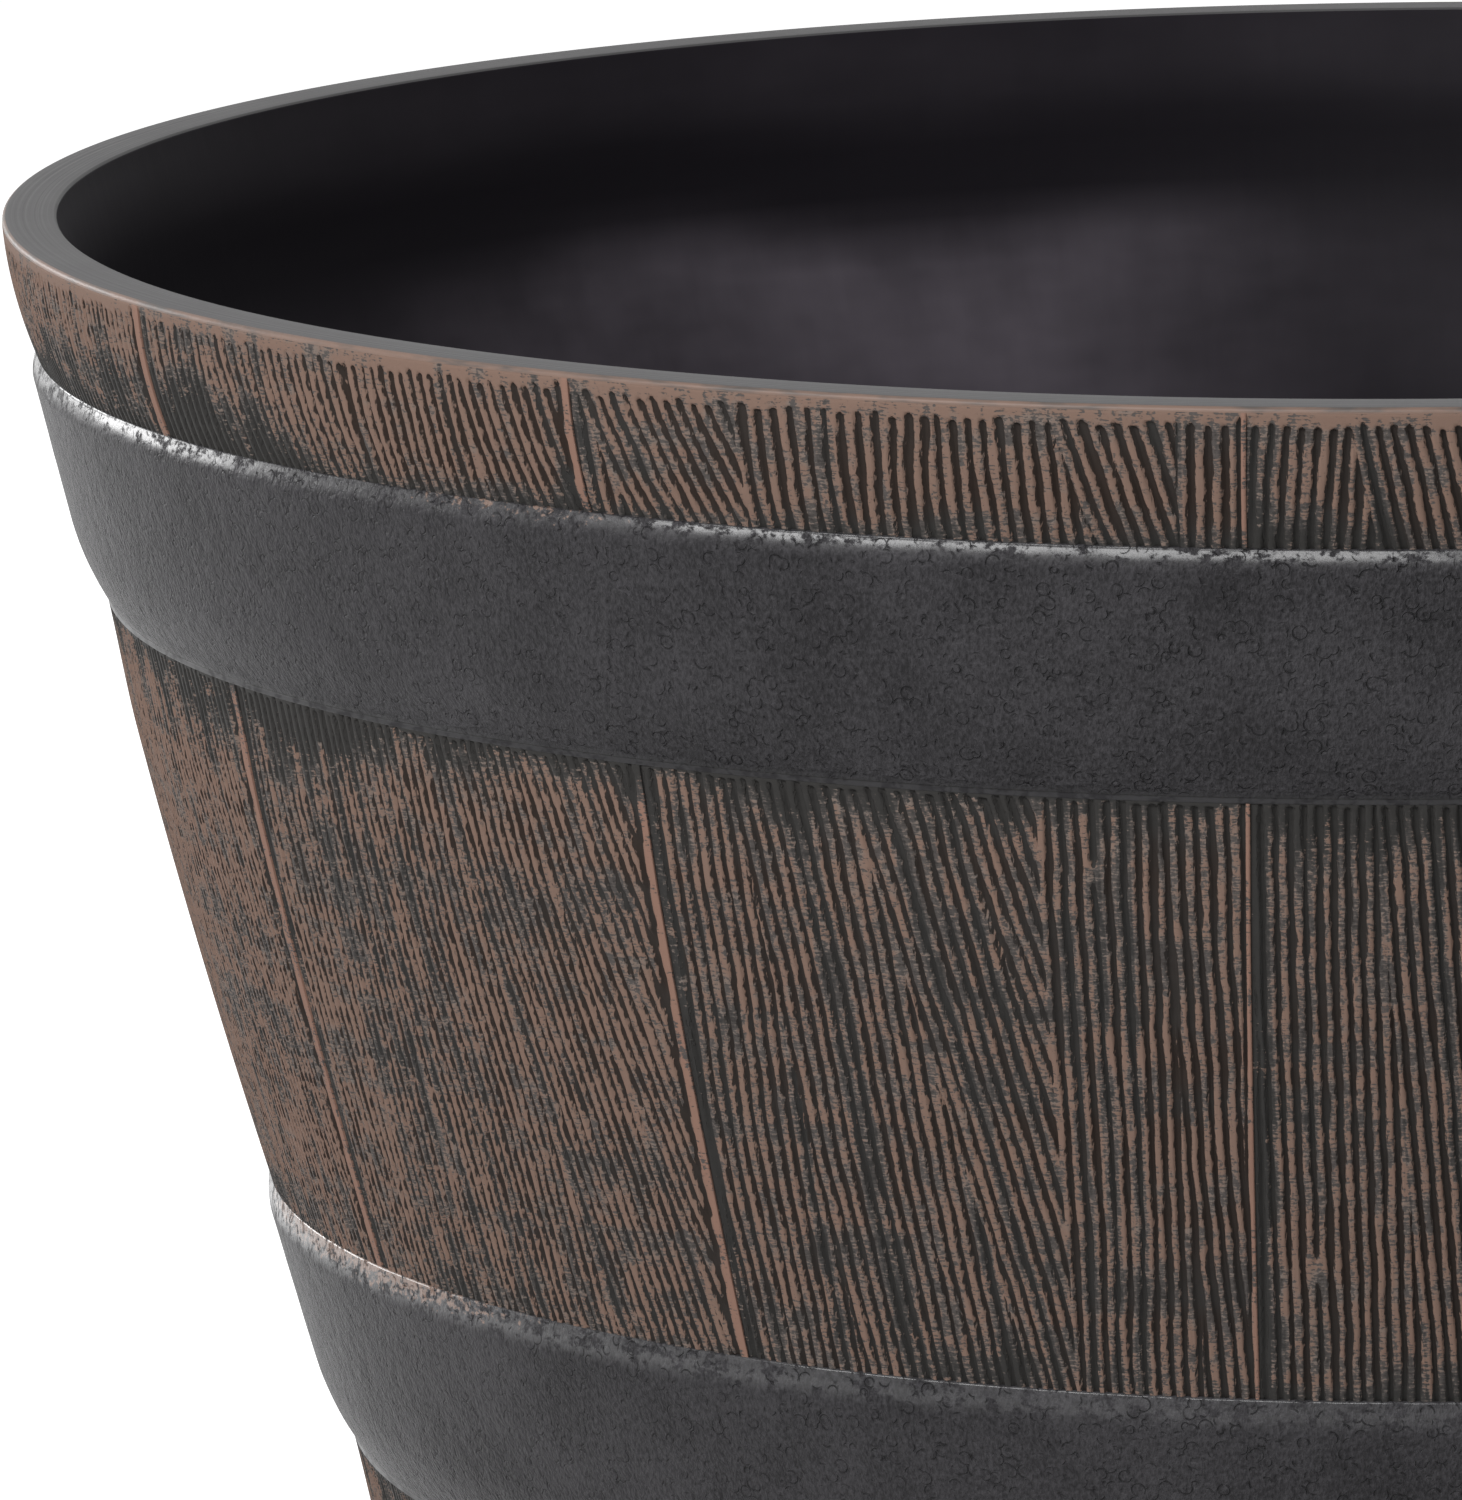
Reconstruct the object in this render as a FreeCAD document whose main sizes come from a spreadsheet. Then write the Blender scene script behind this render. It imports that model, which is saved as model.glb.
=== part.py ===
import FreeCAD, Part
import os

import Sketcher

# Barrel planter moulded in one piece to look like a cut-down wooden cask, with its rubber drain plugs.
# Millimetres and degrees. +Z is up, the origin is on the ground under the middle of the tub,
# and the side that faces the viewer is -Y. A drop is a depth below the rim.

SIZES = {
    # tub
    "rim_radius": 260.0,
    "base_radius": 171.0,
    "tub_height": 330.0,
    "barrel_bow": 2.8,
    "wall": 10.0,
    "rim_inner_round": 2.0,
    "rim_outer_round": 0.8,
    # staves
    "stave_count": 14,
    "stave_bulge": 1.1,
    "seam_turn": 4.4,
    "seam_width": 3.2,
    "seam_depth": 1.2,
    "rim_strip": 3.0,
    # hoops
    "upper_hoop_drop": 24.5,
    "upper_hoop_width": 43.7,
    "upper_hoop_shoulder": 4.0,
    "lower_hoop_drop": 176.7,
    "lower_hoop_width": 47.0,
    "lower_hoop_shoulder": 6.5,
    "hoop_proud": 1.9,
    "hoop_bevel": 14.0,
    "hoop_echo": 2.2,
    "echo_rise": 9.0,
    # floor and foot
    "floor_thickness": 10.0,
    "floor_corner": 12.0,
    "foot_height": 8.0,
    "foot_width": 18.0,
    "foot_corner": 3.0,
    "base_round": 4.0,
    "notch_count": 4,
    "notch_width": 34.0,
    "notch_depth": 4.0,
    # drains and plugs
    "drain_radius": 11.0,
    "drain_turn": 45.0,
    "drain_circle_radius": 92.0,
    "plug_clearance": 0.05,
    "plug_flange": 5.0,
    "plug_head_height": 5.0,
    "plug_head_edge": 1.6,
    "plug_wall": 3.5,
    "plug_cap": 2.5,
    "plug_reach": 3.0,
    "plug_lead": 1.2,
}

# How far a cut runs past the surface that it opens, and the match allowed when an edge is looked up.
OVERRUN = 6.0
MATCH = 0.01

# The plugs round the middle one, anticlockwise from the rear right. There is a drain for each.
OUTER_PLUGS = [
    "drain_plug_rear_right",
    "drain_plug_rear_left",
    "drain_plug_front_left",
    "drain_plug_front_right",
]

doc = FreeCAD.newDocument("barrel_planter")


def write_sheet():
    """Put every driving size in the sheet, named by its alias."""
    sheet = doc.addObject("Spreadsheet::Sheet", "Sizes")
    for row, (alias, value) in enumerate(SIZES.items(), start=1):
        sheet.set(f"A{row}", alias.replace("_", " "))
        sheet.set(f"B{row}", str(value))
        sheet.setAlias(f"B{row}", alias)
    doc.recompute()
    return sheet


sheet = write_sheet()


def size(expression):
    """The number that an expression of the sheet's sizes comes to."""
    return float(sheet.evalExpression(expression))


# Expressions for the cask's outline

UPPER_TOP = "Sizes.upper_hoop_drop"
UPPER_LOW = "(Sizes.upper_hoop_drop + Sizes.upper_hoop_width)"
LOWER_TOP = "Sizes.lower_hoop_drop"
LOWER_LOW = "(Sizes.lower_hoop_drop + Sizes.lower_hoop_width)"
FLOOR_TOP = "(Sizes.foot_height + Sizes.floor_thickness)"
STAVE_ZONES = [("0", UPPER_TOP), (UPPER_LOW, LOWER_TOP), (LOWER_LOW, "Sizes.tub_height")]


def level(drop):
    """Height above the ground at a drop."""
    return f"Sizes.tub_height - ({drop})"


def barrel(drop):
    """Radius of the cask's bowed side at a drop, where hoop meets stave."""
    share = f"(({drop}) / Sizes.tub_height)"
    taper = f"(Sizes.rim_radius - Sizes.base_radius) * {share}"
    bow = f"4 * Sizes.barrel_bow * {share} * (1 - {share})"
    return f"(Sizes.rim_radius - {taper} + {bow})"


def on_side(drop, outward="0"):
    """A point on the cask's side, moved outwards by a step."""
    return (f"{barrel(drop)} + ({outward})", level(drop))


def swelling(top, low, outward="0"):
    """The middle of a stave between two hoops, where it swells past the straight line."""
    radius = f"({barrel(top)} + {barrel(low)}) / 2 + Sizes.stave_bulge + ({outward})"
    return (radius, level(f"(({top}) + ({low})) / 2"))


# Sketch helpers

def origin_feature(body, role):
    return next(item for item in body.Origin.OriginFeatures if item.Role == role)


def new_sketch(body, name, plane, turn_axis=None, turn=None):
    """A sketch on one of the body's own origin planes, turned about an axis by a size if asked."""
    sketch = body.newObject("Sketcher::SketchObject", name)
    sketch.AttachmentSupport = [(origin_feature(body, plane), "")]
    sketch.MapMode = "FlatFace"
    if turn:
        turned = FreeCAD.Rotation(turn_axis, size(turn))
        sketch.AttachmentOffset = FreeCAD.Placement(FreeCAD.Vector(), turned)
        sketch.setExpression("AttachmentOffset.Rotation.Angle", f"{turn} * 1 deg")
    return sketch


def spot(point):
    return FreeCAD.Vector(size(point[0]), size(point[1]), 0)


def fix_point(sketch, edge, end, point):
    """Hold a point of an edge at two expressions, or on an axis where one of them is 0."""
    for kind, axis, expression in (("DistanceX", -2, point[0]), ("DistanceY", -1, point[1])):
        if expression == "0":
            sketch.addConstraint(Sketcher.Constraint("PointOnObject", edge, end, axis))
            continue
        held = sketch.addConstraint(Sketcher.Constraint(kind, edge, end, size(expression)))
        sketch.setExpression(f"Constraints[{held}]", expression)


def draw_loop(sketch, corners):
    """A closed loop through corners. A corner is its point and how the edge that leaves it runs:
    None for a straight edge, a point for an arc through it, or the word before or after for an arc
    that is tangent to the straight edge there."""
    edges = []
    for index, (point, way) in enumerate(corners):
        start = spot(point)
        finish = spot(corners[(index + 1) % len(corners)][0])
        if way is None:
            curve = Part.LineSegment(start, finish)
        elif isinstance(way, tuple):
            curve = Part.Arc(start, spot(way), finish)
        else:
            chord = finish - start
            side = FreeCAD.Vector(-chord.y, chord.x, 0)
            curve = Part.Arc(start, (start + finish) / 2 + side / 8, finish)
        edge = sketch.addGeometry(curve)
        first = 1 if sketch.getPoint(edge, 1).distanceToPoint(start) < MATCH else 2
        edges.append((edge, first, 3 - first))
        fix_point(sketch, edge, first, point)
        if isinstance(way, tuple):
            through = sketch.addGeometry(Part.Point(spot(way)), True)
            fix_point(sketch, through, 1, way)
            sketch.addConstraint(Sketcher.Constraint("PointOnObject", through, 1, edge))
    for index, (edge, _, last) in enumerate(edges):
        following = (index + 1) % len(edges)
        next_edge, next_first, _ = edges[following]
        tangent = corners[index][1] == "after" or corners[following][1] == "before"
        kind = "Tangent" if tangent else "Coincident"
        sketch.addConstraint(Sketcher.Constraint(kind, edge, last, next_edge, next_first))


def draw_circle(sketch, across, up, radius):
    circle = Part.Circle(spot((across, up)), FreeCAD.Vector(0, 0, 1), size(radius))
    edge = sketch.addGeometry(circle)
    fix_point(sketch, edge, 3, (across, up))
    held = sketch.addConstraint(Sketcher.Constraint("Radius", edge, size(radius)))
    sketch.setExpression(f"Constraints[{held}]", radius)


# Feature helpers

def revolve(body, name, sketch):
    turned = body.newObject("PartDesign::Revolution", name)
    turned.Profile = sketch
    turned.ReferenceAxis = (sketch, ["V_Axis"])
    doc.recompute()
    return turned


def check_cut(body, feature, before):
    """A cut that takes nothing away shows no error, so its volume is compared."""
    body.Tip = feature
    doc.recompute()
    if feature.Shape.isNull() or feature.Shape.Volume >= before - MATCH:
        raise RuntimeError(f"{feature.Label} cuts nothing")
    return feature


def pocket(body, name, sketch, length=None, both_ways=False):
    """A cut upwards from a ground sketch, or both ways from an upright one."""
    before = body.Shape.Volume
    cut = body.newObject("PartDesign::Pocket", name)
    cut.Profile = sketch
    if both_ways:
        cut.SideType = "Symmetric"
    else:
        cut.Reversed = True
    if length:
        cut.setExpression("Length", length)
    else:
        cut.Type = "ThroughAll"
    return check_cut(body, cut, before)


def repeat_round(body, name, feature, count):
    """Repeat a cut evenly round the tub's axis."""
    before = body.Shape.Volume
    pattern = body.newObject("PartDesign::PolarPattern", name)
    pattern.Originals = [feature]
    pattern.Axis = (origin_feature(body, "Z_Axis"), [""])
    pattern.Angle = 360
    pattern.setExpression("Occurrences", count)
    return check_cut(body, pattern, before)


def round_circle(body, name, point, radius):
    """Round the turned edge that runs through a point of the outline."""
    base = body.Tip
    across, up = size(point[0]), size(point[1])
    names = []
    for number, edge in enumerate(base.Shape.Edges, start=1):
        if not isinstance(edge.Curve, Part.Circle):
            continue
        same_radius = abs(edge.Curve.Radius - across) < MATCH
        if same_radius and abs(edge.Curve.Center.z - up) < MATCH:
            names.append(f"Edge{number}")
    rounded = body.newObject("PartDesign::Fillet", name)
    rounded.Base = (base, names)
    rounded.setExpression("Radius", radius)
    body.Tip = rounded
    doc.recompute()


# Tub

def hoop_outline(top, low, shoulder):
    """The outside of a hoop from its upper crease: rounded shoulder, face and long lower bevel."""
    face_top = f"{top} + {shoulder}"
    face_low = f"{low} - Sizes.hoop_bevel"
    return [
        (on_side(top), "after"),
        (on_side(face_top, "Sizes.hoop_proud"), None),
        (on_side(face_low, "Sizes.hoop_proud"), "before"),
    ]


def echo_outline(top, low):
    """The inside of the wall behind a hoop, from below: a shallow swelling of the same wall."""
    high = f"{top} - Sizes.echo_rise"
    deep = f"{low} - Sizes.echo_rise"
    middle = f"({high} + {deep}) / 2"
    swell = on_side(middle, "Sizes.hoop_echo - Sizes.wall")
    return [
        (on_side(deep, "-Sizes.wall"), swell),
        (on_side(high, "-Sizes.wall"), None),
    ]


def tub_outline():
    """Half section of the tub, from the rim down the outside and up the inside."""
    rim_zone, middle_zone, base_zone = STAVE_ZONES
    floor_drop = f"(Sizes.tub_height - {FLOOR_TOP})"
    outline = [
        (on_side("0", "-Sizes.wall"), None),
        (on_side("0"), swelling(*rim_zone)),
    ]
    outline += hoop_outline(UPPER_TOP, UPPER_LOW, "Sizes.upper_hoop_shoulder")
    outline.append((on_side(UPPER_LOW), swelling(*middle_zone)))
    outline += hoop_outline(LOWER_TOP, LOWER_LOW, "Sizes.lower_hoop_shoulder")
    outline.append((on_side(LOWER_LOW), swelling(*base_zone)))
    outline += [
        (("Sizes.base_radius", "0"), None),
        (("Sizes.base_radius - Sizes.foot_width", "0"), None),
        (("Sizes.base_radius - Sizes.foot_width", "Sizes.foot_height"), None),
        (("0", "Sizes.foot_height"), None),
        (("0", FLOOR_TOP), None),
        (on_side(floor_drop, "-Sizes.wall"), None),
    ]
    outline += echo_outline(LOWER_TOP, LOWER_LOW)
    outline += echo_outline(UPPER_TOP, UPPER_LOW)
    return outline


def draw_seams(sketch):
    """The sliver that one seam takes out of each stave zone, from crease to crease."""
    for top, low in STAVE_ZONES:
        if top == "0":
            top = "Sizes.rim_strip"
        inward = "-Sizes.seam_depth"
        beyond = f"{OVERRUN}"
        draw_loop(sketch, [
            (on_side(top, inward), swelling(top, low, inward)),
            (on_side(low, inward), None),
            (on_side(low, beyond), None),
            (on_side(top, beyond), None),
        ])


def draw_notch(sketch):
    """A drain channel across the foot ring."""
    inner = f"Sizes.base_radius - Sizes.foot_width - {OVERRUN}"
    outer = f"Sizes.base_radius + {OVERRUN}"
    half = "Sizes.notch_width / 2"
    draw_loop(sketch, [
        ((inner, f"-{half}"), None),
        ((outer, f"-{half}"), None),
        ((outer, half), None),
        ((inner, half), None),
    ])


def make_tub():
    upright = FreeCAD.Vector(0, 1, 0)
    normal = FreeCAD.Vector(0, 0, 1)
    body = doc.addObject("PartDesign::Body", "tub")

    section = new_sketch(body, "tub_section", "XZ_Plane")
    draw_loop(section, tub_outline())
    revolve(body, "tub_wall", section)

    floor_drop = f"(Sizes.tub_height - {FLOOR_TOP})"
    foot_inside = ("Sizes.base_radius - Sizes.foot_width", "Sizes.foot_height")
    round_circle(body, "rim_inner_edge", on_side("0", "-Sizes.wall"), "Sizes.rim_inner_round")
    round_circle(body, "rim_outer_edge", on_side("0"), "Sizes.rim_outer_round")
    round_circle(body, "floor_edge", on_side(floor_drop, "-Sizes.wall"), "Sizes.floor_corner")
    round_circle(body, "base_edge", ("Sizes.base_radius", "0"), "Sizes.base_round")
    round_circle(body, "foot_edge", foot_inside, "Sizes.foot_corner")

    seam = new_sketch(body, "seam_section", "XZ_Plane", upright, "Sizes.seam_turn")
    draw_seams(seam)
    seam_cut = pocket(body, "seam", seam, "Sizes.seam_width", both_ways=True)
    repeat_round(body, "seams", seam_cut, "Sizes.stave_count")

    notch = new_sketch(body, "notch_outline", "XY_Plane")
    draw_notch(notch)
    notch_cut = pocket(body, "foot_notch", notch, "Sizes.notch_depth")
    repeat_round(body, "foot_notches", notch_cut, "Sizes.notch_count")

    middle = new_sketch(body, "middle_drain_outline", "XY_Plane")
    draw_circle(middle, "0", "0", "Sizes.drain_radius")
    pocket(body, "middle_drain", middle)

    outer = new_sketch(body, "outer_drain_outline", "XY_Plane", normal, "Sizes.drain_turn")
    draw_circle(outer, "Sizes.drain_circle_radius", "0", "Sizes.drain_radius")
    outer_cut = pocket(body, "outer_drain", outer)
    repeat_round(body, "outer_drains", outer_cut, f"{len(OUTER_PLUGS)}")
    return body


# Drain plugs

def plug_outline():
    """Half section of a plug: domed head on the floor, hollow shank down through the drain."""
    head = "Sizes.drain_radius + Sizes.plug_flange"
    shank = "Sizes.drain_radius - Sizes.plug_clearance"
    bore = f"{shank} - Sizes.plug_wall"
    tip = "-Sizes.floor_thickness - Sizes.plug_reach"
    rise = "(Sizes.plug_head_height - Sizes.plug_head_edge)"
    dome = (f"({head}) / 2", f"Sizes.plug_head_height - {rise} / 4")
    return [
        (("0", "Sizes.plug_head_height"), dome),
        ((head, "Sizes.plug_head_edge"), None),
        ((head, "0"), None),
        ((shank, "0"), None),
        ((shank, f"{tip} + Sizes.plug_lead"), None),
        ((f"{shank} - Sizes.plug_lead", tip), None),
        ((bore, tip), None),
        ((bore, "-Sizes.plug_cap"), None),
        (("0", "-Sizes.plug_cap"), None),
    ]


def make_plug(label, across, along):
    body = doc.addObject("PartDesign::Body", label)
    section = new_sketch(body, f"{label}_section", "XZ_Plane")
    draw_loop(section, plug_outline())
    revolve(body, f"{label}_rubber", section)
    body.setExpression("Placement.Base.x", across)
    body.setExpression("Placement.Base.y", along)
    body.setExpression("Placement.Base.z", FLOOR_TOP)
    return body


def make_plugs():
    plugs = [make_plug("drain_plug_middle", "0", "0")]
    for step, label in enumerate(OUTER_PLUGS):
        angle = f"((Sizes.drain_turn + {360 * step / len(OUTER_PLUGS)}) * 1 deg)"
        across = f"Sizes.drain_circle_radius * cos{angle}"
        along = f"Sizes.drain_circle_radius * sin{angle}"
        plugs.append(make_plug(label, across, along))
    return plugs


# Checks and files

def check_document(bodies):
    for item in doc.Objects:
        if "Invalid" in item.State or "Error" in item.State:
            raise RuntimeError(f"{item.Label} failed: {item.State}")
    for body in bodies:
        shape = body.Shape
        if shape.isNull() or not shape.isValid() or len(shape.Solids) != 1:
            raise RuntimeError(f"{body.Label} is not one valid solid")


def write_parts(bodies):
    os.makedirs("parts", exist_ok=True)
    for body in bodies:
        body.Shape.exportStep(f"parts/{body.Label}.step")
        print(f"{body.Label}: {body.Shape.Volume / 1000:.1f} cm3, {len(body.Shape.Faces)} faces")


parts = [make_tub()] + make_plugs()
doc.recompute()
check_document(parts)
write_parts(parts)
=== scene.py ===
import math

import bmesh
import bpy
import numpy as np
from bpy.props import FloatProperty, FloatVectorProperty, IntProperty, PointerProperty
from mathutils import Matrix, Vector


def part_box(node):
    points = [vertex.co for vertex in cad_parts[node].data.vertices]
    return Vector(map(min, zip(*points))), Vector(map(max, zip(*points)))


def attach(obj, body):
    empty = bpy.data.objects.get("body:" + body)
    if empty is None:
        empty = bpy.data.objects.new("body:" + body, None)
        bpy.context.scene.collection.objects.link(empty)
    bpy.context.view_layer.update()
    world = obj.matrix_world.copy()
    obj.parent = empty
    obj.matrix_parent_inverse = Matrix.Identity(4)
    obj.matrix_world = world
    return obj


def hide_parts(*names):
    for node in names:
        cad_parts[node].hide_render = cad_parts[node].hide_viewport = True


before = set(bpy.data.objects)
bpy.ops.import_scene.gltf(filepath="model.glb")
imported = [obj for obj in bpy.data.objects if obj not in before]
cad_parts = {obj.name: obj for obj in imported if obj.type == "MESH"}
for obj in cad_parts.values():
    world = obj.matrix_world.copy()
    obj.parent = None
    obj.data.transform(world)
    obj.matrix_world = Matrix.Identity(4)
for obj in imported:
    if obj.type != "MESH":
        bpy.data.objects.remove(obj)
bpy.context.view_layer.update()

bl_info = {
    "name": "Barrel Planter",
    "version": (1, 0, 0),
    "blender": (4, 5, 0),
    "location": "3D View > Sidebar > Planter",
    "description": "Builds a resin planter moulded like a cut-down cask, with its drain plugs",
    "category": "Add Mesh",
}

TUB_LOW, TUB_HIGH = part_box("tub")
PLUG_NODES = [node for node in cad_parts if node.startswith("drain_plug")]
MM = 0.001
FULL_TURN = 2.0 * math.pi
TUB_REACH = min(TUB_HIGH.x, TUB_HIGH.y, -TUB_LOW.x, -TUB_LOW.y)


# Settings

def length(name, description, millimetres):
    return FloatProperty(name=name, description=description, default=millimetres * MM,
                         precision=5, unit="LENGTH", subtype="DISTANCE")


def share(name, description, default):
    return FloatProperty(name=name, description=description, default=default, subtype="FACTOR")


def turn(name, description, degrees):
    return FloatProperty(name=name, description=description, default=math.radians(degrees),
                         unit="ROTATION", subtype="ANGLE")


def count(name, description, default):
    return IntProperty(name=name, description=description, default=default, min=1)


def colour(name, description, red, green, blue):
    """A colour setting from screen values of 0 to 255."""
    def linear(screen):
        level = screen / 255.0
        return level / 12.92 if level <= 0.04045 else ((level + 0.055) / 1.055) ** 2.4
    return FloatVectorProperty(name=name, description=description, subtype="COLOR", size=3,
                               min=0.0, max=1.0, default=tuple(map(linear, (red, green, blue))))


class TubSizes(bpy.types.PropertyGroup):
    """Sizes of the moulded tub"""
    height: length("Height", "From the foot to the rim", TUB_HIGH.z / MM)
    reach: length("Reach", "Largest outside radius of the tub", TUB_REACH / MM)
    rim_radius: length("Rim radius", "Outside radius of the rim before its edge is rounded", 260.0)
    base_radius: length("Base radius", "Outside radius at the foot", 171.0)
    bow: length("Bow", "How far the side bows out past a straight line", 2.8)
    wall: length("Wall", "Thickness of the wall", 10.0)
    rim_inner_round: length("Inner rim rounding", "Radius of the rim's inner edge", 0.8)
    rim_outer_round: length("Outer rim rounding", "Radius of the rim's outer edge", 0.8)
    stave_bulge: length("Stave bulge", "Swelling of a stave between two hoops", 1.1)
    upper_hoop_drop: length("Upper hoop drop", "From the rim to the upper hoop", 24.5)
    upper_hoop_width: length("Upper hoop width", "Height of the upper hoop", 43.7)
    upper_hoop_shoulder: length("Upper hoop shoulder", "Height of the slope along its upper edge", 4.0)
    upper_hoop_power: share("Upper hoop slope", "From 1, a straight slope, to 2, a round one", 1.35)
    lower_hoop_drop: length("Lower hoop drop", "From the rim to the lower hoop", 176.7)
    lower_hoop_width: length("Lower hoop width", "Height of the lower hoop", 47.0)
    lower_hoop_shoulder: length("Lower hoop shoulder", "Height of the slope along its upper edge", 6.5)
    lower_hoop_power: share("Lower hoop slope", "From 1, a straight slope, to 2, a round one", 1.6)
    hoop_proud: length("Hoop proud", "How far the hoops stand out", 1.9)
    hoop_bevel: length("Hoop bevel", "Height of the long bevel under a hoop", 14.0)
    crease: length("Crease", "Depth of the crease under a hoop", 0.9)
    fillet: length("Fillet", "How far a smooth fillet rises from that crease", 0.12)
    fillet_height: length("Fillet height", "Height of that fillet", 1.1)
    crease_fade: length("Crease fade", "Height over which the stave comes out to its full radius", 25.0)
    hoop_echo: length("Hoop echo", "Swelling of the inside behind a hoop", 2.2)
    echo_rise: length("Echo rise", "How far the echo sits above its hoop", 9.0)
    floor_thickness: length("Floor thickness", "Thickness of the floor", 10.0)
    floor_corner: length("Floor corner", "Rounding between floor and wall", 12.0)
    foot_height: length("Foot height", "From the ground to the floor's underside", 8.0)
    foot_width: length("Foot width", "Width of the foot ring", 18.0)
    foot_corner: length("Foot corner", "Rounding inside the foot ring", 3.0)
    base_round: length("Base rounding", "Rounding of the outside at the ground", 4.0)
    notch_count: count("Notches", "Drain notches through the foot ring", 4)
    notch_width: length("Notch width", "Width of a drain notch", 34.0)
    notch_depth: length("Notch depth", "Height of a drain notch", 4.0)
    drain_radius: length("Drain radius", "Radius of a drain hole", 11.0)
    skin: length("Stave skin", "Thickness of the pressed skin over the core", 3.4)
    recess: length("Skin recess", "How far the core is set back under the skin", 2.6)
    skin_top: length("Skin top", "From the rim to the top of the pressed skin", 1.0)
    skin_base: length("Skin base", "From the ground to the end of the pressed skin", 5.0)


class GrainSizes(bpy.types.PropertyGroup):
    """Sizes of the pressed wood grain"""
    staves: count("Staves", "Staves round the tub", 14)
    seam_turn: turn("First seam", "Turn of the first seam from the X axis", 4.4)
    pitch: length("Grain pitch", "From one groove to the next at the rim", 2.75)
    depth: length("Groove depth", "Depth of the pressed grooves", 0.9)
    groove: share("Groove share", "Share of the pitch that is groove", 0.46)
    waver: length("Waver", "How far the grooves wander sideways", 1.1)
    rim_strip: length("Rim strip", "Smooth strip above the grooves", 2.4)
    seam_step: length("Seam step", "Step down from one stave to the next", 0.35)
    seam_slope: length("Seam slope", "Width of the hollow beside a seam", 4.5)
    lip: length("Seam lip", "Width of the raised lip along a seam", 1.5)
    hammer: length("Hammer depth", "Depth of the hammered dents in the hoops", 0.14)
    seed: count("Seed", "Seed of the random grain", 7)


class PlugSizes(bpy.types.PropertyGroup):
    """Sizes of the rubber drain plugs"""
    clearance: length("Clearance", "Gap between a plug and its drain", 0.05)
    flange: length("Flange", "How far the head passes the drain's edge", 5.0)
    head_height: length("Head height", "Height of the domed head", 5.0)
    head_edge: length("Head edge", "Thickness of the head at its edge", 1.6)
    wall: length("Plug wall", "Thickness of the hollow shank", 3.5)
    cap: length("Cap", "Thickness over the hollow", 2.5)
    reach: length("Reach", "How far the shank passes the floor", 3.0)
    lead: length("Lead", "Bevel at the shank's tip", 1.2)


class FinishColours(bpy.types.PropertyGroup):
    """Colours of the planter's finishes"""
    paint: colour("Brush paint", "Brown dry-brushed paint on the ridges", 112, 92, 82)
    paint_dry: colour("Dry paint", "Greyer paint where the brush was dry", 108, 98, 92)
    paint_thin: colour("Thin paint", "Film of paint where the brush hardly touched", 74, 70, 68)
    paint_lip: colour("Seam paint", "Redder paint along the seams", 126, 98, 86)
    resin: colour("Resin", "Charcoal resin under the paint", 50, 49, 48)
    resin_warm: colour("Warm resin", "Resin in the grooves where the paint is thick", 44, 36, 32)
    hoop: colour("Hoop", "Hammered black of the hoops", 50, 49, 51)
    land: colour("Rim land", "Bare grey top of the rim", 74, 73, 74)
    inside: colour("Inside", "Satin black of the inside", 22, 20, 24)
    # Pale haze on the inside, partly from the mould and partly a painted sheen of reflected light
    haze_and_sheen: colour("Inside haze", "Pale haze in a band and in patches on the inside", 84, 79, 86)
    rubber: colour("Rubber", "Rubber of the drain plugs", 26, 26, 27)
    floor: colour("Floor", "Pale studio floor", 210, 210, 210)


class StageSizes(bpy.types.PropertyGroup):
    """Camera and light"""
    camera_away: length("Camera distance", "From the tub's axis to the camera", 2600.0)
    camera_rise: length("Camera rise", "Height of the camera above the rim", 367.5)
    pitch: turn("Pitch", "How far the camera looks down", 10.25)
    yaw: turn("Yaw", "How far the camera is turned to the left", 2.859)
    roll: turn("Roll", "How far the camera leans", 0.848)
    lens: FloatProperty(name="Lens", description="Focal length", default=347.5, unit="CAMERA")
    sensor: FloatProperty(name="Sensor", description="Height of the sensor", default=36.0, unit="CAMERA")
    floor_size: length("Floor size", "Width of the square floor", 16000.0)
    floor_glow: share("Floor glow", "How bright the floor looks by itself", 0.85)
    world_light: share("World light", "Strength of the world's light on the object", 0.25)


# Sections of the tub, as radius over drop from the rim

def barrel(tub, drop):
    """Radius of the bowed side at a drop below the rim."""
    part = drop / tub.height
    taper = (tub.rim_radius - tub.base_radius) * part
    return tub.rim_radius - taper + 4.0 * tub.bow * part * (1.0 - part)


def hoop_spans(tub):
    """Upper and lower drop of each hoop, with the height and power of its shoulder's slope."""
    upper_low = tub.upper_hoop_drop + tub.upper_hoop_width
    lower_low = tub.lower_hoop_drop + tub.lower_hoop_width
    return [
        (tub.upper_hoop_drop, upper_low, tub.upper_hoop_shoulder, tub.upper_hoop_power),
        (tub.lower_hoop_drop, lower_low, tub.lower_hoop_shoulder, tub.lower_hoop_power),
    ]


def stave_zones(tub):
    """Upper and lower drop of the three stretches of stave between rim, hoops and foot."""
    upper, lower = hoop_spans(tub)
    return [(0.0, upper[0]), (upper[1], lower[0]), (lower[1], tub.height)]


def swell(drop, top, low, height):
    """A parabola of this height between two drops, and nothing outside them."""
    middle = (top + low) / 2.0
    half = (low - top) / 2.0
    return height * np.clip(1.0 - ((drop - middle) / half) ** 2, 0.0, None)


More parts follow.
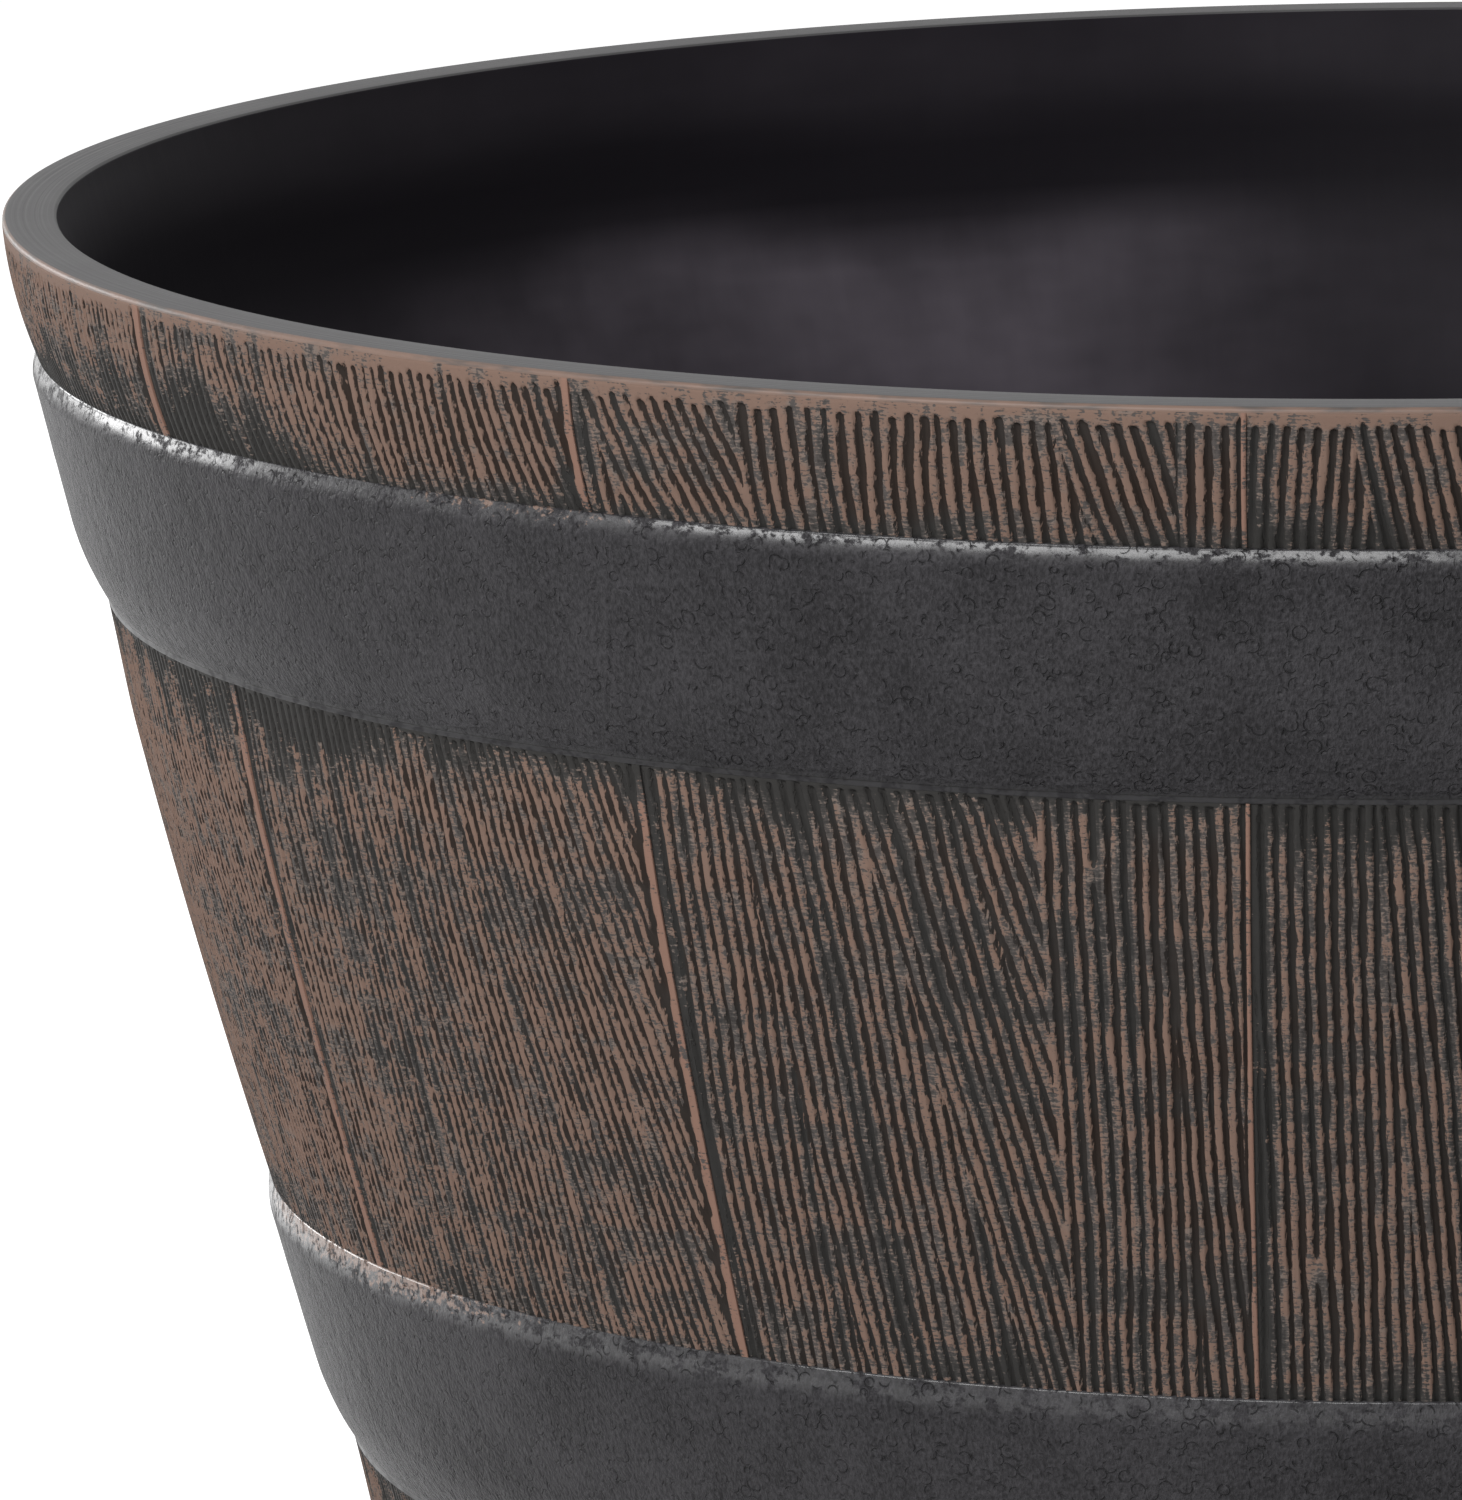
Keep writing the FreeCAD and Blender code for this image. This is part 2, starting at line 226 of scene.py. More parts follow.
def stave_face(tub, drop):
    """Radius of the staves' ridges, which swell between the hoops."""
    radius = barrel(tub, drop)
    left_over = tub.crease - tub.fillet
    for top, low in stave_zones(tub):
        chord = np.interp(drop, (top, low), (barrel(tub, top), barrel(tub, low)))
        inside = (drop > top) & (drop < low)
        radius = np.where(inside, chord + swell(drop, top, low, tub.stave_bulge), radius)
        if top > 0.0:
            creased = left_over * (1.0 - ramp(drop, top, top + tub.crease_fade))
            radius = radius - np.where(inside, creased, 0.0)
    return np.minimum(radius, tub.reach)


def hoop_face(tub, drop, top, low, shoulder, power):
    """Radius of a hoop: sloping shoulder, face, long round bevel below, and the fillet under that."""
    above = np.clip((top + shoulder - drop) / shoulder, 0.0, 1.0) ** power
    below = np.clip((drop - low + tub.hoop_bevel) / tub.hoop_bevel, 0.0, 1.0) ** 2
    face = barrel(tub, drop) + tub.hoop_proud * (1.0 - above) - (tub.hoop_proud + tub.crease) * below
    return face + tub.fillet * ramp(drop, low, low + tub.fillet_height)


def inner_face(tub, drop):
    """Radius of the inside wall, which swells out behind each hoop."""
    radius = barrel(tub, drop) - tub.wall
    for top, low, _, _ in hoop_spans(tub):
        radius = radius + swell(drop, top - tub.echo_rise, low - tub.echo_rise, tub.hoop_echo)
    return radius


# Mesh helpers

# Points nearer than this are one
MERGE_GAP = 0.002 * MM

# Share of a patch's half width over which it is full
PATCH_MIDDLE = 0.3


def ramp(value, low, high):
    """Smooth step from 0 at low to 1 at high."""
    part = np.clip((value - low) / (high - low), 0.0, 1.0)
    return part * part * (3.0 - 2.0 * part)


class NoiseSheet:
    """Smooth random sheet from -1 to 1, which repeats after a number of cells."""

    def __init__(self, seed, cells=64):
        self.cells = cells
        self.values = np.random.default_rng(seed).uniform(-1.0, 1.0, (cells, cells))

    def __call__(self, across, along):
        across, along = np.broadcast_arrays(across, along)
        column = np.floor(across).astype(int)
        row = np.floor(along).astype(int)
        right = ramp(across - column, 0.0, 1.0)
        down = ramp(along - row, 0.0, 1.0)

        def cell(step_across, step_along):
            return self.values[(column + step_across) % self.cells, (row + step_along) % self.cells]

        upper = cell(0, 0) * (1.0 - right) + cell(1, 0) * right
        lower = cell(0, 1) * (1.0 - right) + cell(1, 1) * right
        return upper * (1.0 - down) + lower * down

    def spots(self, across, along, wide, high, shift=0.0):
        """The sheet with cells this many millimetres wide and high, moved across by some cells."""
        return self(across / (wide * MM) + shift, along / (high * MM))


def around(angle, patches):
    """Largest amount of patches round the axis, each with an angle and half width in degrees."""
    found = np.zeros(len(angle))
    for middle, width, amount in patches:
        away = np.abs((angle - math.radians(middle) + math.pi) % FULL_TURN - math.pi)
        reach = math.radians(width)
        found = np.maximum(found, amount * (1.0 - ramp(away, PATCH_MIDDLE * reach, reach)))
    return found


def arc(across, up, radius, start, end, steps):
    """Points on an arc, by angles in degrees."""
    angles = np.radians(np.linspace(start, end, steps + 1))
    return [(across + radius * math.cos(a), up + radius * math.sin(a)) for a in angles]


def draw_section(bm, points, closed=False):
    """A wire of radius and height points, in the half plane of the X axis."""
    wire = [bm.verts.new((radius, 0.0, up)) for radius, up in points]
    for start, end in zip(wire, wire[1:]):
        bm.edges.new((start, end))
    if closed:
        bm.edges.new((wire[-1], wire[0]))
    return wire


def spin_section(bm, steps, sectors, angle=FULL_TURN):
    """Turns the wire through one sector, repeats that round the axis and closes poles and seams."""
    sector = angle / sectors
    axle = {"cent": (0.0, 0.0, 0.0), "axis": (0.0, 0.0, 1.0)}
    bmesh.ops.spin(bm, geom=bm.verts[:] + bm.edges[:], angle=sector, steps=steps, **axle)
    bmesh.ops.spin(bm, geom=bm.verts[:] + bm.edges[:] + bm.faces[:], angle=sector * (sectors - 1),
                   steps=sectors - 1, use_duplicate=True, **axle)
    bmesh.ops.remove_doubles(bm, verts=bm.verts[:], dist=MERGE_GAP)
    caps = []
    if angle < FULL_TURN:
        ends = [edge for edge in bm.edges if edge.is_boundary]
        caps = bmesh.ops.holes_fill(bm, edges=ends, sides=0)["faces"]
    bmesh.ops.recalc_face_normals(bm, faces=bm.faces[:])
    return caps


def make_object(bm, name):
    """An object at the origin from a closed bmesh."""
    if any(not edge.is_manifold for edge in bm.edges):
        raise RuntimeError(f"{name} isn't closed")
    mesh = bpy.data.meshes.new(name)
    bm.to_mesh(mesh)
    bm.free()
    piece = bpy.data.objects.new(name, mesh)
    bpy.context.scene.collection.objects.link(piece)
    return piece


def place(piece, body, slot, *materials):
    """Puts a finished piece on its body, in place of that body's CAD node."""
    for material in materials:
        piece.data.materials.append(material)
    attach(piece, body)
    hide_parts(body)


def mesh_points(mesh):
    """Angle, radius and height of every vertex."""
    flat = np.empty(len(mesh.vertices) * 3)
    mesh.vertices.foreach_get("co", flat)
    x, y, z = flat.reshape(-1, 3).T
    return np.arctan2(y, x), np.hypot(x, y), z


def move_points(mesh, angle, radius, up):
    """Puts every vertex at its angle, radius and height."""
    points = np.column_stack((radius * np.cos(angle), radius * np.sin(angle), up))
    mesh.vertices.foreach_set("co", points.ravel())
    mesh.update()


def point_values(mesh, name, values):
    """A value for each vertex, which the materials read by its name."""
    layer = mesh.attributes.new(name, "FLOAT", "POINT")
    layer.data.foreach_set("value", np.asarray(values, dtype=np.float32))


# Shader helpers

class Value:
    """A shader value, on which an expression adds Math nodes."""

    def __init__(self, shade, socket):
        self.shade = shade
        self.socket = socket

    def math(self, operation, first, second=0.0):
        node = self.shade.node("ShaderNodeMath", {"operation": operation}, {0: first, 1: second})
        return Value(self.shade, node.outputs[0])

    def __add__(self, other):
        return self.math("ADD", self, other)

    def __radd__(self, other):
        return self.math("ADD", other, self)

    def __sub__(self, other):
        return self.math("SUBTRACT", self, other)

    def __rsub__(self, other):
        return self.math("SUBTRACT", other, self)

    def __mul__(self, other):
        return self.math("MULTIPLY", self, other)

    def __rmul__(self, other):
        return self.math("MULTIPLY", other, self)

    def ramp(self, low, high):
        """Smooth step from 0 at low to 1 at high."""
        node = self.shade.node("ShaderNodeMapRange", {"interpolation_type": "SMOOTHSTEP"},
                               {"Value": self, "From Min": low, "From Max": high})
        return Value(self.shade, node.outputs["Result"])


class Nodes:
    """A node tree that starts empty, to which nodes are added."""

    def __init__(self, tree):
        self.tree = tree
        self.tree.nodes.clear()

    def set_socket(self, socket, value):
        """Gives a socket its value, or a link to what varies."""
        source = value.socket if isinstance(value, Value) else value
        if isinstance(source, bpy.types.NodeSocket):
            self.tree.links.new(source, socket)
        else:
            socket.default_value = source

    def node(self, kind, settings=None, sockets=None):
        """A node of this type, with its settings, then its sockets' values or links."""
        node = self.tree.nodes.new(kind)
        for name, setting in (settings or {}).items():
            setattr(node, name, setting)
        for name, value in (sockets or {}).items():
            self.set_socket(node.inputs[name], value)
        return node

    def shown(self):
        """1 for what the camera sees straight, in a reflection or through something clear, else 0."""
        path = self.node("ShaderNodeLightPath").outputs
        rays = [Value(self, path[f"Is {kind} Ray"]) for kind in ("Camera", "Glossy", "Transmission")]
        return rays[0].math("MINIMUM", rays[0] + rays[1] + rays[2], 1.0)


class Shade(Nodes):
    """A procedural material: its nodes, and the Principled shader that they feed."""

    def __init__(self, name):
        self.material = bpy.data.materials.new(name)
        self.material.use_nodes = True
        super().__init__(self.material.node_tree)
        self.shader = self.node("ShaderNodeBsdfPrincipled")
        self.node("ShaderNodeOutputMaterial", {}, {"Surface": self.shader.outputs[0]})

    def feed(self, **sockets):
        """Values or links for the Principled shader, with _ for a space in a socket's name."""
        for name, value in sockets.items():
            self.set_socket(self.shader.inputs[name.replace("_", " ")], value)

    def scaled_place(self, scale):
        """Object coordinates, each times its own number."""
        place_node = self.node("ShaderNodeTexCoord")
        return self.node("ShaderNodeVectorMath", {"operation": "MULTIPLY"},
                         {0: place_node.outputs["Object"], 1: scale}).outputs[0]

    def noise(self, across, up, detail=2.0, roughness=0.5):
        """Noise from 0 to 1 with features this many millimetres wide and high."""
        scale = (1.0 / (across * MM), 1.0 / (across * MM), 1.0 / (up * MM))
        node = self.node("ShaderNodeTexNoise", {},
                         {"Vector": self.scaled_place(scale), "Scale": 1.0, "Detail": detail,
                          "Roughness": roughness})
        return Value(self, node.outputs[0])

    def cells(self, across):
        """Distance from the middles of random cells this many millimetres wide."""
        scale = (1.0 / (across * MM),) * 3
        node = self.node("ShaderNodeTexVoronoi", {}, {"Vector": self.scaled_place(scale), "Scale": 1.0})
        return Value(self, node.outputs["Distance"])

    def attribute(self, name):
        """A value that the mesh keeps for each vertex."""
        node = self.node("ShaderNodeAttribute", {"attribute_name": name})
        return Value(self, node.outputs["Fac"])

    def mix(self, factor, first, second):
        """Colour from first at 0 to second at 1. The node's sockets are known by their numbers."""
        node = self.node("ShaderNodeMix", {"data_type": "RGBA"},
                         {0: factor, 6: rgba(first), 7: rgba(second)})
        return node.outputs[2]

    def bump(self, height, depth):
        """Relief this many millimetres deep."""
        node = self.node("ShaderNodeBump", {}, {"Height": height, "Distance": depth * MM})
        self.feed(Normal=node.outputs[0])


def rgba(value):
    """A colour setting with its alpha; links pass through."""
    if isinstance(value, (bpy.types.NodeSocket, Value)):
        return value
    return (*value[:3], 1.0)


def tinted(colour_setting, strength):
    """A colour this many times as bright."""
    return tuple(strength * part for part in colour_setting)


# Finishes

# Fine rings that the mould left on the rim, for each metre across them
RINGS_PER_METRE = 1400.0


def brushed_stave_paint(colours):
    """Brown paint dragged over flat ridges, with charcoal resin left in the grooves."""
    shade = Shade("brushed_stave_paint")
    edge = shade.attribute("edge")
    side = shade.attribute("side")
    brush = shade.attribute("brush")
    lip = shade.attribute("lip")
    nibble = shade.noise(0.9, 1.8, roughness=0.6)
    comb = shade.noise(1.9, 0.34, roughness=0.6)
    patch = shade.noise(3.4, 12.0)
    roller = shade.noise(30.0, 3.0, detail=3.0, roughness=0.6)
    speck = shade.noise(0.7, 0.6, roughness=0.6)
    # Tops of the ridges, with an edge that is cleaner where there is more paint
    top = (edge + (nibble - 0.5) * (1.7 - brush * 1.3)).ramp(-0.05, 0.07)
    # The dry brush skips, in fine combs across the ridges, patches, bands and specks
    amount = brush + side * 0.1 + (comb - 0.5) * 1.1 + (patch - 0.5) * 0.9
    amount = amount + (roller - 0.5) * 0.5 + (speck - 0.5) * 0.9
    film = (amount + brush - 0.6).ramp(-0.1, 0.45) * top
    cover = amount.ramp(0.45, 0.59) * top
    # Thin paint is greyer, and paint along a seam is redder
    warmth = brush * 0.7 + (patch + roller - 1.0) * 0.8
    brown = shade.mix(warmth.ramp(0.2, 0.48), colours.paint_dry, colours.paint)
    brown = shade.mix(lip * 0.85, brown, colours.paint_lip)
    soot = shade.noise(1.6, 1.6)
    resin = shade.mix(soot, tinted(colours.resin, 0.75), colours.resin)
    resin = shade.mix(brush.ramp(0.4, 0.75), resin, colours.resin_warm)
    bare = shade.mix(film, resin, colours.paint_thin)
    shade.feed(Base_Color=shade.mix(cover, bare, brown), Roughness=0.58 + cover * 0.1)
    shade.feed(Specular_IOR_Level=0.05)
    shade.bump(top * 0.5 + cover * 0.25 + speck * 0.25, 0.22)
    return shade.material


def rubbed_rim_edge(colours):
    """Brown paint rubbed smooth and glossy along the rim's edge."""
    shade = Shade("rubbed_rim_edge")
    wear = shade.noise(14.0, 2.0, detail=3.0, roughness=0.6)
    base = shade.mix(wear.ramp(0.3, 0.6), colours.paint_thin, colours.paint)
    shade.feed(Base_Color=base, Roughness=0.36 + wear * 0.14, Specular_IOR_Level=0.25)
    shade.bump(shade.noise(1.2, 1.2), 0.05)
    return shade.material


def hammered_hoop_black(colours):
    """Charcoal resin with a hammered skin, glossier on the shoulder and smeared with paint in places, with
    painted shade in its pits and on the fillet in the crease under it.
    """
    shade = Shade("hammered_hoop_black")
    smear = shade.attribute("smear")
    shoulder = shade.attribute("shoulder")
    skin = 1.0 - shade.attribute("fillet")
    dents = shade.noise(3.6, 3.0, roughness=0.55)
    broken = shade.noise(3.0, 2.2, detail=1.0)
    fine = shade.noise(0.7, 1.1, roughness=0.65)
    speck = shade.noise(1.6, 1.1, detail=3.0, roughness=0.65)
    tone = shade.noise(20.0, 20.0, detail=3.0)
    # Small pits, and thin crescents, which are pieces of rings round the middles of cells
    pits = (1.0 - shade.cells(2.1).ramp(0.12, 0.32)) * broken.ramp(0.4, 0.55)
    rings = shade.cells(2.6)
    crescents = rings.ramp(0.4, 0.47) * (1.0 - rings.ramp(0.47, 0.54)) * broken.ramp(0.5, 0.62)
    # A darker copy of the hoop colour, for random tone and for painted shade, and a paler one for random
    # tone
    dull_and_shaded = tinted(colours.hoop, 0.55)
    pale = tinted(colours.hoop, 1.4)
    base = shade.mix(((tone - 0.5) * 0.5 + fine).ramp(0.2, 0.8), dull_and_shaded, pale)
    # Painted shade: the pits a little darker, and the fillet in the crease under the hoop much darker
    base = shade.mix(1.0 - (1.0 - pits * 0.25) * (skin * 0.8 + 0.2), base, dull_and_shaded)
    paint = (smear + (speck - 0.5) * 1.6).ramp(0.42, 0.6)
    shade.feed(Base_Color=shade.mix(paint, base, colours.paint), Roughness=0.26 + fine * 0.2)
    glints = (speck + dents - 0.5).ramp(0.34, 0.54) * (1.0 - crescents)
    shade.feed(Specular_IOR_Level=0.05, Coat_Weight=shoulder * glints, Coat_Roughness=0.21)
    shade.bump((dents * 0.7 + fine * 0.5 - crescents * 0.4 - pits * 0.2) * skin, 1.0)
    return shade.material


def turned_rim_grey(colours):
    """Bare grey resin with the fine rings of its mould."""
    shade = Shade("turned_rim_grey")
    flat = shade.scaled_place((1.0, 1.0, 0.0))
    radius_node = shade.node("ShaderNodeVectorMath", {"operation": "LENGTH"}, {0: flat})
    across = Value(shade, radius_node.outputs["Value"]) * RINGS_PER_METRE
    ring_node = shade.node("ShaderNodeTexNoise", {"noise_dimensions": "1D"},
                           {"W": across, "Scale": 1.0, "Detail": 2.0})
    rings = Value(shade, ring_node.outputs[0])
    wear = shade.noise(20.0, 20.0, detail=4.0, roughness=0.65)
    dark = tinted(colours.land, 0.62)
    base = shade.mix((rings * 0.7 + wear * 0.5).ramp(0.35, 0.8), dark, colours.land)
    shade.feed(Base_Color=base, Roughness=0.5 + wear * 0.2, Specular_IOR_Level=0.4)
    shade.bump(rings, 0.12)
    return shade.material


def satin_inside_black(colours):
    """Smooth black of the inside, with pale haze in places: partly a haze from the mould, partly a painted
    sheen that stands in for reflected light.
    """
    shade = Shade("satin_inside_black")
    drag = shade.noise(6.0, 120.0, detail=3.0)
    cloud = shade.noise(50.0, 20.0, detail=3.0, roughness=0.6)
    # Painted sheen: pale haze that is partly from the mould and partly stands in for reflected light
    haze_and_sheen = shade.attribute("haze_and_sheen") * (cloud * 1.1 + drag * 0.25)
    shade.feed(Base_Color=shade.mix(haze_and_sheen, colours.inside, colours.haze_and_sheen))
    shade.feed(Roughness=0.5, Specular_IOR_Level=0.04)
    shade.bump(drag * 0.5 + cloud, 0.2)
    return shade.material


def plug_rubber_black(colours):
    """Matt rubber with a fine moulded skin."""
    shade = Shade("plug_rubber_black")
    skin = shade.noise(0.8, 0.8)
    dust = shade.noise(8.0, 8.0, detail=3.0)
    dusty = tinted(colours.rubber, 2.4)
    shade.feed(Base_Color=shade.mix(dust.ramp(0.45, 0.8), colours.rubber, dusty))
    shade.feed(Roughness=0.6 + dust * 0.2, Specular_IOR_Level=0.35)
    shade.bump(skin, 0.15)
    return shade.material


# Pressed grain

# For a stave and a zone: where each run of grooves starts across the stave, and how far its grooves
# lean to the right for each unit that they fall. Staves that aren't named get runs of their own.
GRAIN_RUNS = {
    (7, 0): ((0.0, 0.12), (0.5, 0.04)),
    (7, 1): ((0.0, 0.05), (0.6, 0.12)),
    (8, 0): ((0.0, 0.05), (0.18, 0.16), (0.55, 0.1), (0.78, 0.2)),
    (8, 1): ((0.0, 0.02), (0.3, 0.08), (0.56, 0.17), (0.74, 0.24)),
    (9, 0): ((0.0, 0.34), (0.27, 0.0), (0.56, 0.06), (0.72, 0.3), (0.9, 0.02)),
    (9, 1): ((0.0, 0.02), (0.16, 0.1), (0.36, 0.24), (0.52, 0.32), (0.67, 0.0), (0.86, 0.05)),
    (10, 0): ((0.0, -0.05), (0.15, 0.24), (0.42, 0.08), (0.7, 0.2)),
    (10, 1): ((0.0, 0.03), (0.2, 0.1), (0.46, 0.2), (0.7, 0.02)),
}

# How much more or less paint a stave has. Other staves have more or less by chance.
MORE_PAINT = {7: 0.06, 8: 0.03, 9: -0.01, 10: -0.02}

# How much finer a stave's grain is than the others'
FINER = {7: 0.86, 8: 0.88}

# Share of the full lip that a stave has along its right seam. Other staves get one by chance.
LIP_SHARES = {7: 1.35, 8: 1.0, 9: 0.5}

# Share of a stave, from its left, where the paint stops short of the upper hoop. Other staves get one
# by chance.
SHORT_PAINT = {7: 1.0, 8: 0.55, 9: 0.0, 10: 0.0}

# Degrees by which a seam is off its even place at the rim and at the foot. Other seams are off by chance.
SEAM_SHIFTS = {8: (-0.1, -1.4), 9: (0.1, 0.7), 10: (1.45, -1.2)}

# Brush paint on the ridges at the rim and down the side, from 0 for none to 1 for solid, and what adds
# to it: on the smooth strip along the rim, in streaks, and on a seam's lip
RIM_PAINT = 0.66
SIDE_PAINT = 0.6
STRIP_EXTRA = 0.1
STREAK_EXTRA = 0.08
LIP_EXTRA = 0.15

# Brush paint that is missing: where it stops short, in patches, on some ridges, on the fillet under a
# hoop, and beside a seam at the rim and, on top of that, further down
SHORT_LOSS = 0.08
PATCH_LOSS = 0.06
RIDGE_LOSS = 0.15
FILLET_LOSS = 0.3
SEAM_LOSS = 0.12
SEAM_LOSS_BELOW = 0.2

# Brush paint that is missing towards the upper or lower end of a stretch of stave: the most, and the
# distances from that end where all and none of it is missing
RIM_END_LOSS = (0.4, -6.0 * MM, 10.0 * MM)
SHORT_END_LOSS = (0.16, 1.0 * MM, 12.0 * MM)
SIDE_START_LOSS = (0.45, -4.0 * MM, 15.0 * MM)
SIDE_END_LOSS = (0.3, -8.0 * MM, 6.0 * MM)

# Along a seam, in widths of its lip: where the lip ends, and where the gutter beside it starts and ends
LIP_END = (0.85, 1.25)
GUTTER_START = (1.1, 1.4)
GUTTER_END = (1.6, 2.1)

# Share by which a lip's width wobbles, and the height over which a seam begins under the rim's strip
LIP_WOBBLE = 0.22
SEAM_FADE = 1.4 * MM

# How much a groove's width differs from line to line and swells along it, the share of the waver that is
# added in fine steps, and the range of a line's fading in which its groove breaks off
LINE_WIDTH = 0.08
LINE_SWELLING = 0.14
FINE_WAVER = 0.22
LINE_BREAKS = (-1.28, -1.08)

# From the bottom of a groove's wall to the ridge, as a distance from the groove's edge
GROOVE_WALL = (-0.2, 0.06)

# Width beside a seam over which the grooves reach their depth
GROOVE_START = 2.0 * MM

# Where the smooth fillet under a hoop ends, and where the grooves have begun, in heights of the fillet
FILLET_END = (0.9, 1.15)
FILLET_GROOVES = (0.9, 1.6)

# Height over which the grooves begin under the rim's strip, and how unevenly they begin there and under
# a fillet
STRIP_FADE = 1.2 * MM
STRIP_UNEVEN = 0.6 * MM
FILLET_UNEVEN = 0.4 * MM

# How unevenly the paint ends towards the hoops, in wide and in narrow tongues
WIDE_TONGUES = 7.0 * MM
NARROW_TONGUES = 4.0 * MM

# A turn that counts as before a stave's start, and a height that still counts as within a stretch
SLACK_TURN = 0.01
SLACK_HEIGHT = 0.01 * MM


def lost(loss, distance):
    """Brush paint that is missing at a distance from the end of a stretch."""
    most, near, far = loss
    return most * (1.0 - ramp(distance, near, far))


class StaveGrain:
    """Works out the pressed grain of one stave on points given by angle and drop."""

    def __init__(self, tub, grain, index):
        self.tub = tub
        self.grain = grain
        self.index = index
        self.sweep = FULL_TURN / grain.staves
        self.start = grain.seam_turn + self.sweep * index
        self.width = tub.rim_radius * self.sweep
        self.chance = np.random.default_rng(grain.seed * 100 + index)
        sheets = [NoiseSheet(grain.seed * 1000 + index * 10 + number) for number in range(5)]
        self.wander, self.ragged, self.fading, self.swelling, self.patches = sheets
        self.line_values = self.chance.uniform(-1.0, 1.0, 1024)
        self.pitch = grain.pitch * FINER.get(index, 1.0)
        self.lip = grain.lip * LIP_SHARES.get(index, self.chance.uniform(0.5, 1.0))
        self.more_paint = MORE_PAINT.get(index, self.chance.uniform(-0.06, 0.08))
        self.short_paint = SHORT_PAINT.get(index, self.chance.uniform(0.0, 0.6))

    def seam(self, number, drop):
        """Angle of a seam at a drop, a little off its even place."""
        number_round = number % self.grain.staves
        chance = np.random.default_rng(self.grain.seed * 500 + number_round)
        off = SEAM_SHIFTS.get(number_round, tuple(chance.uniform(-0.9, 0.9, 2)))
        even = self.grain.seam_turn + self.sweep * number
        return even + np.radians(off[0] + (off[1] - off[0]) * drop / self.tub.height)

    def settle(self, angle, drop):
        """Moves points of an even stave to where its two seams really run."""
        turned = self.turned(angle) / self.sweep
        left = self.seam(self.index, drop)
        right = self.seam(self.index + 1, drop)
        return left + (right - left) * turned

    def turned(self, angle):
        """Turn from the stave's even start."""
        return (angle - self.start + SLACK_TURN) % FULL_TURN - SLACK_TURN

    def runs(self, zone):
        """Runs of grooves across one zone of this stave."""
        if (self.index, zone) in GRAIN_RUNS:
            return GRAIN_RUNS[self.index, zone]
        starts = np.sort(self.chance.uniform(0.15, 0.9, 3))
        leans = self.chance.uniform(-0.06, 0.32, 4)
        return tuple(zip((0.0, *starts), leans))

    def lines(self, zone, across, fall):
        """Distance from a groove's edge, side of the ridge and a value of its own for each place in a zone.

        The distance is a share of half a pitch, above zero on the ridge. The side runs from -1 at a
        ridge's left to 1 at its right.
        """
        grain = self.grain
        shift = self.wander.spots(across, fall, 30.0, 35.0) * grain.waver
        shift = shift + self.ragged.spots(across, fall, 5.0, 6.0) * grain.waver * FINE_WAVER
        run = np.zeros(across.shape, dtype=int)
        lean = np.zeros(across.shape)
        for number, (start, slope) in enumerate(self.runs(zone)):
            border = start * self.width + slope * fall
            inside = across + shift * 0.5 >= border
            run = np.where(inside, number, run)
            lean = np.where(inside, slope, lean)
        phase = (across - lean * fall + shift) / self.pitch + run * 0.37
        line = np.floor(phase).astype(int)
        # Every line draws its own values, by numbers that keep lines, runs and zones apart
        key = (line * 7 + run * 131 + zone * 389) % len(self.line_values)
        own = self.line_values[key]
        other = self.line_values[(key * 3 + 11) % len(self.line_values)]
        swelling = self.swelling(line * 0.73, fall / (5.0 * MM))
        groove = grain.groove + LINE_WIDTH * own + LINE_SWELLING * swelling
        fading = self.fading(line * 1.37 + run * 5.3, fall / (14.0 * MM)) + 0.3 * own
        closed = 1.0 - ramp(fading, *LINE_BREAKS)
        edge = 2.0 * np.abs(phase - line - 0.5) - groove + closed
        side = 2.0 * (phase - np.round(phase))
        return edge, side, other

    def begun(self, zone, fall, own):
        """How far the grooves have begun, from 0 on the rim's strip or a hoop's fillet to 1 below it."""
        if zone == 0:
            strip = self.grain.rim_strip
            return ramp(fall + STRIP_UNEVEN * own, strip, strip + STRIP_FADE)
        fillet = self.tub.fillet_height
        return ramp((fall + FILLET_UNEVEN * own) / fillet, *FILLET_GROOVES)

    def brushed(self, zone, across, fall, rise, begun, own):
        """How thickly the brush left its paint in a zone, with a ragged end towards the hoops."""
        patches = self.patches
        ragged = WIDE_TONGUES * patches.spots(across, fall, 30.0, 50.0)
        ragged = ragged + NARROW_TONGUES * patches.spots(across, fall, 6.0, 50.0, shift=31.0)
        if zone == 0:
            part = across / self.width
            short = 1.0 - ramp(part, self.short_paint - 0.1, self.short_paint + 0.1)
            paint = RIM_PAINT + STRIP_EXTRA * (1.0 - begun) - SHORT_LOSS * short
            paint = paint - lost(RIM_END_LOSS, rise + ragged)
            paint = paint - short * lost(SHORT_END_LOSS, rise + ragged)
        else:
            paint = SIDE_PAINT - FILLET_LOSS * (1.0 - begun)
            paint = paint - lost(SIDE_START_LOSS, fall + ragged)
            paint = paint - lost(SIDE_END_LOSS, rise + ragged)
        paint = paint - PATCH_LOSS * ramp(patches.spots(across, fall, 34.0, 24.0, shift=9.0), 0.0, 0.7)
        paint = paint + STREAK_EXTRA * patches.spots(across, fall, 90.0, 5.0, shift=41.0)
        return paint - RIDGE_LOSS * ramp(own, 0.3, 0.9) + self.more_paint

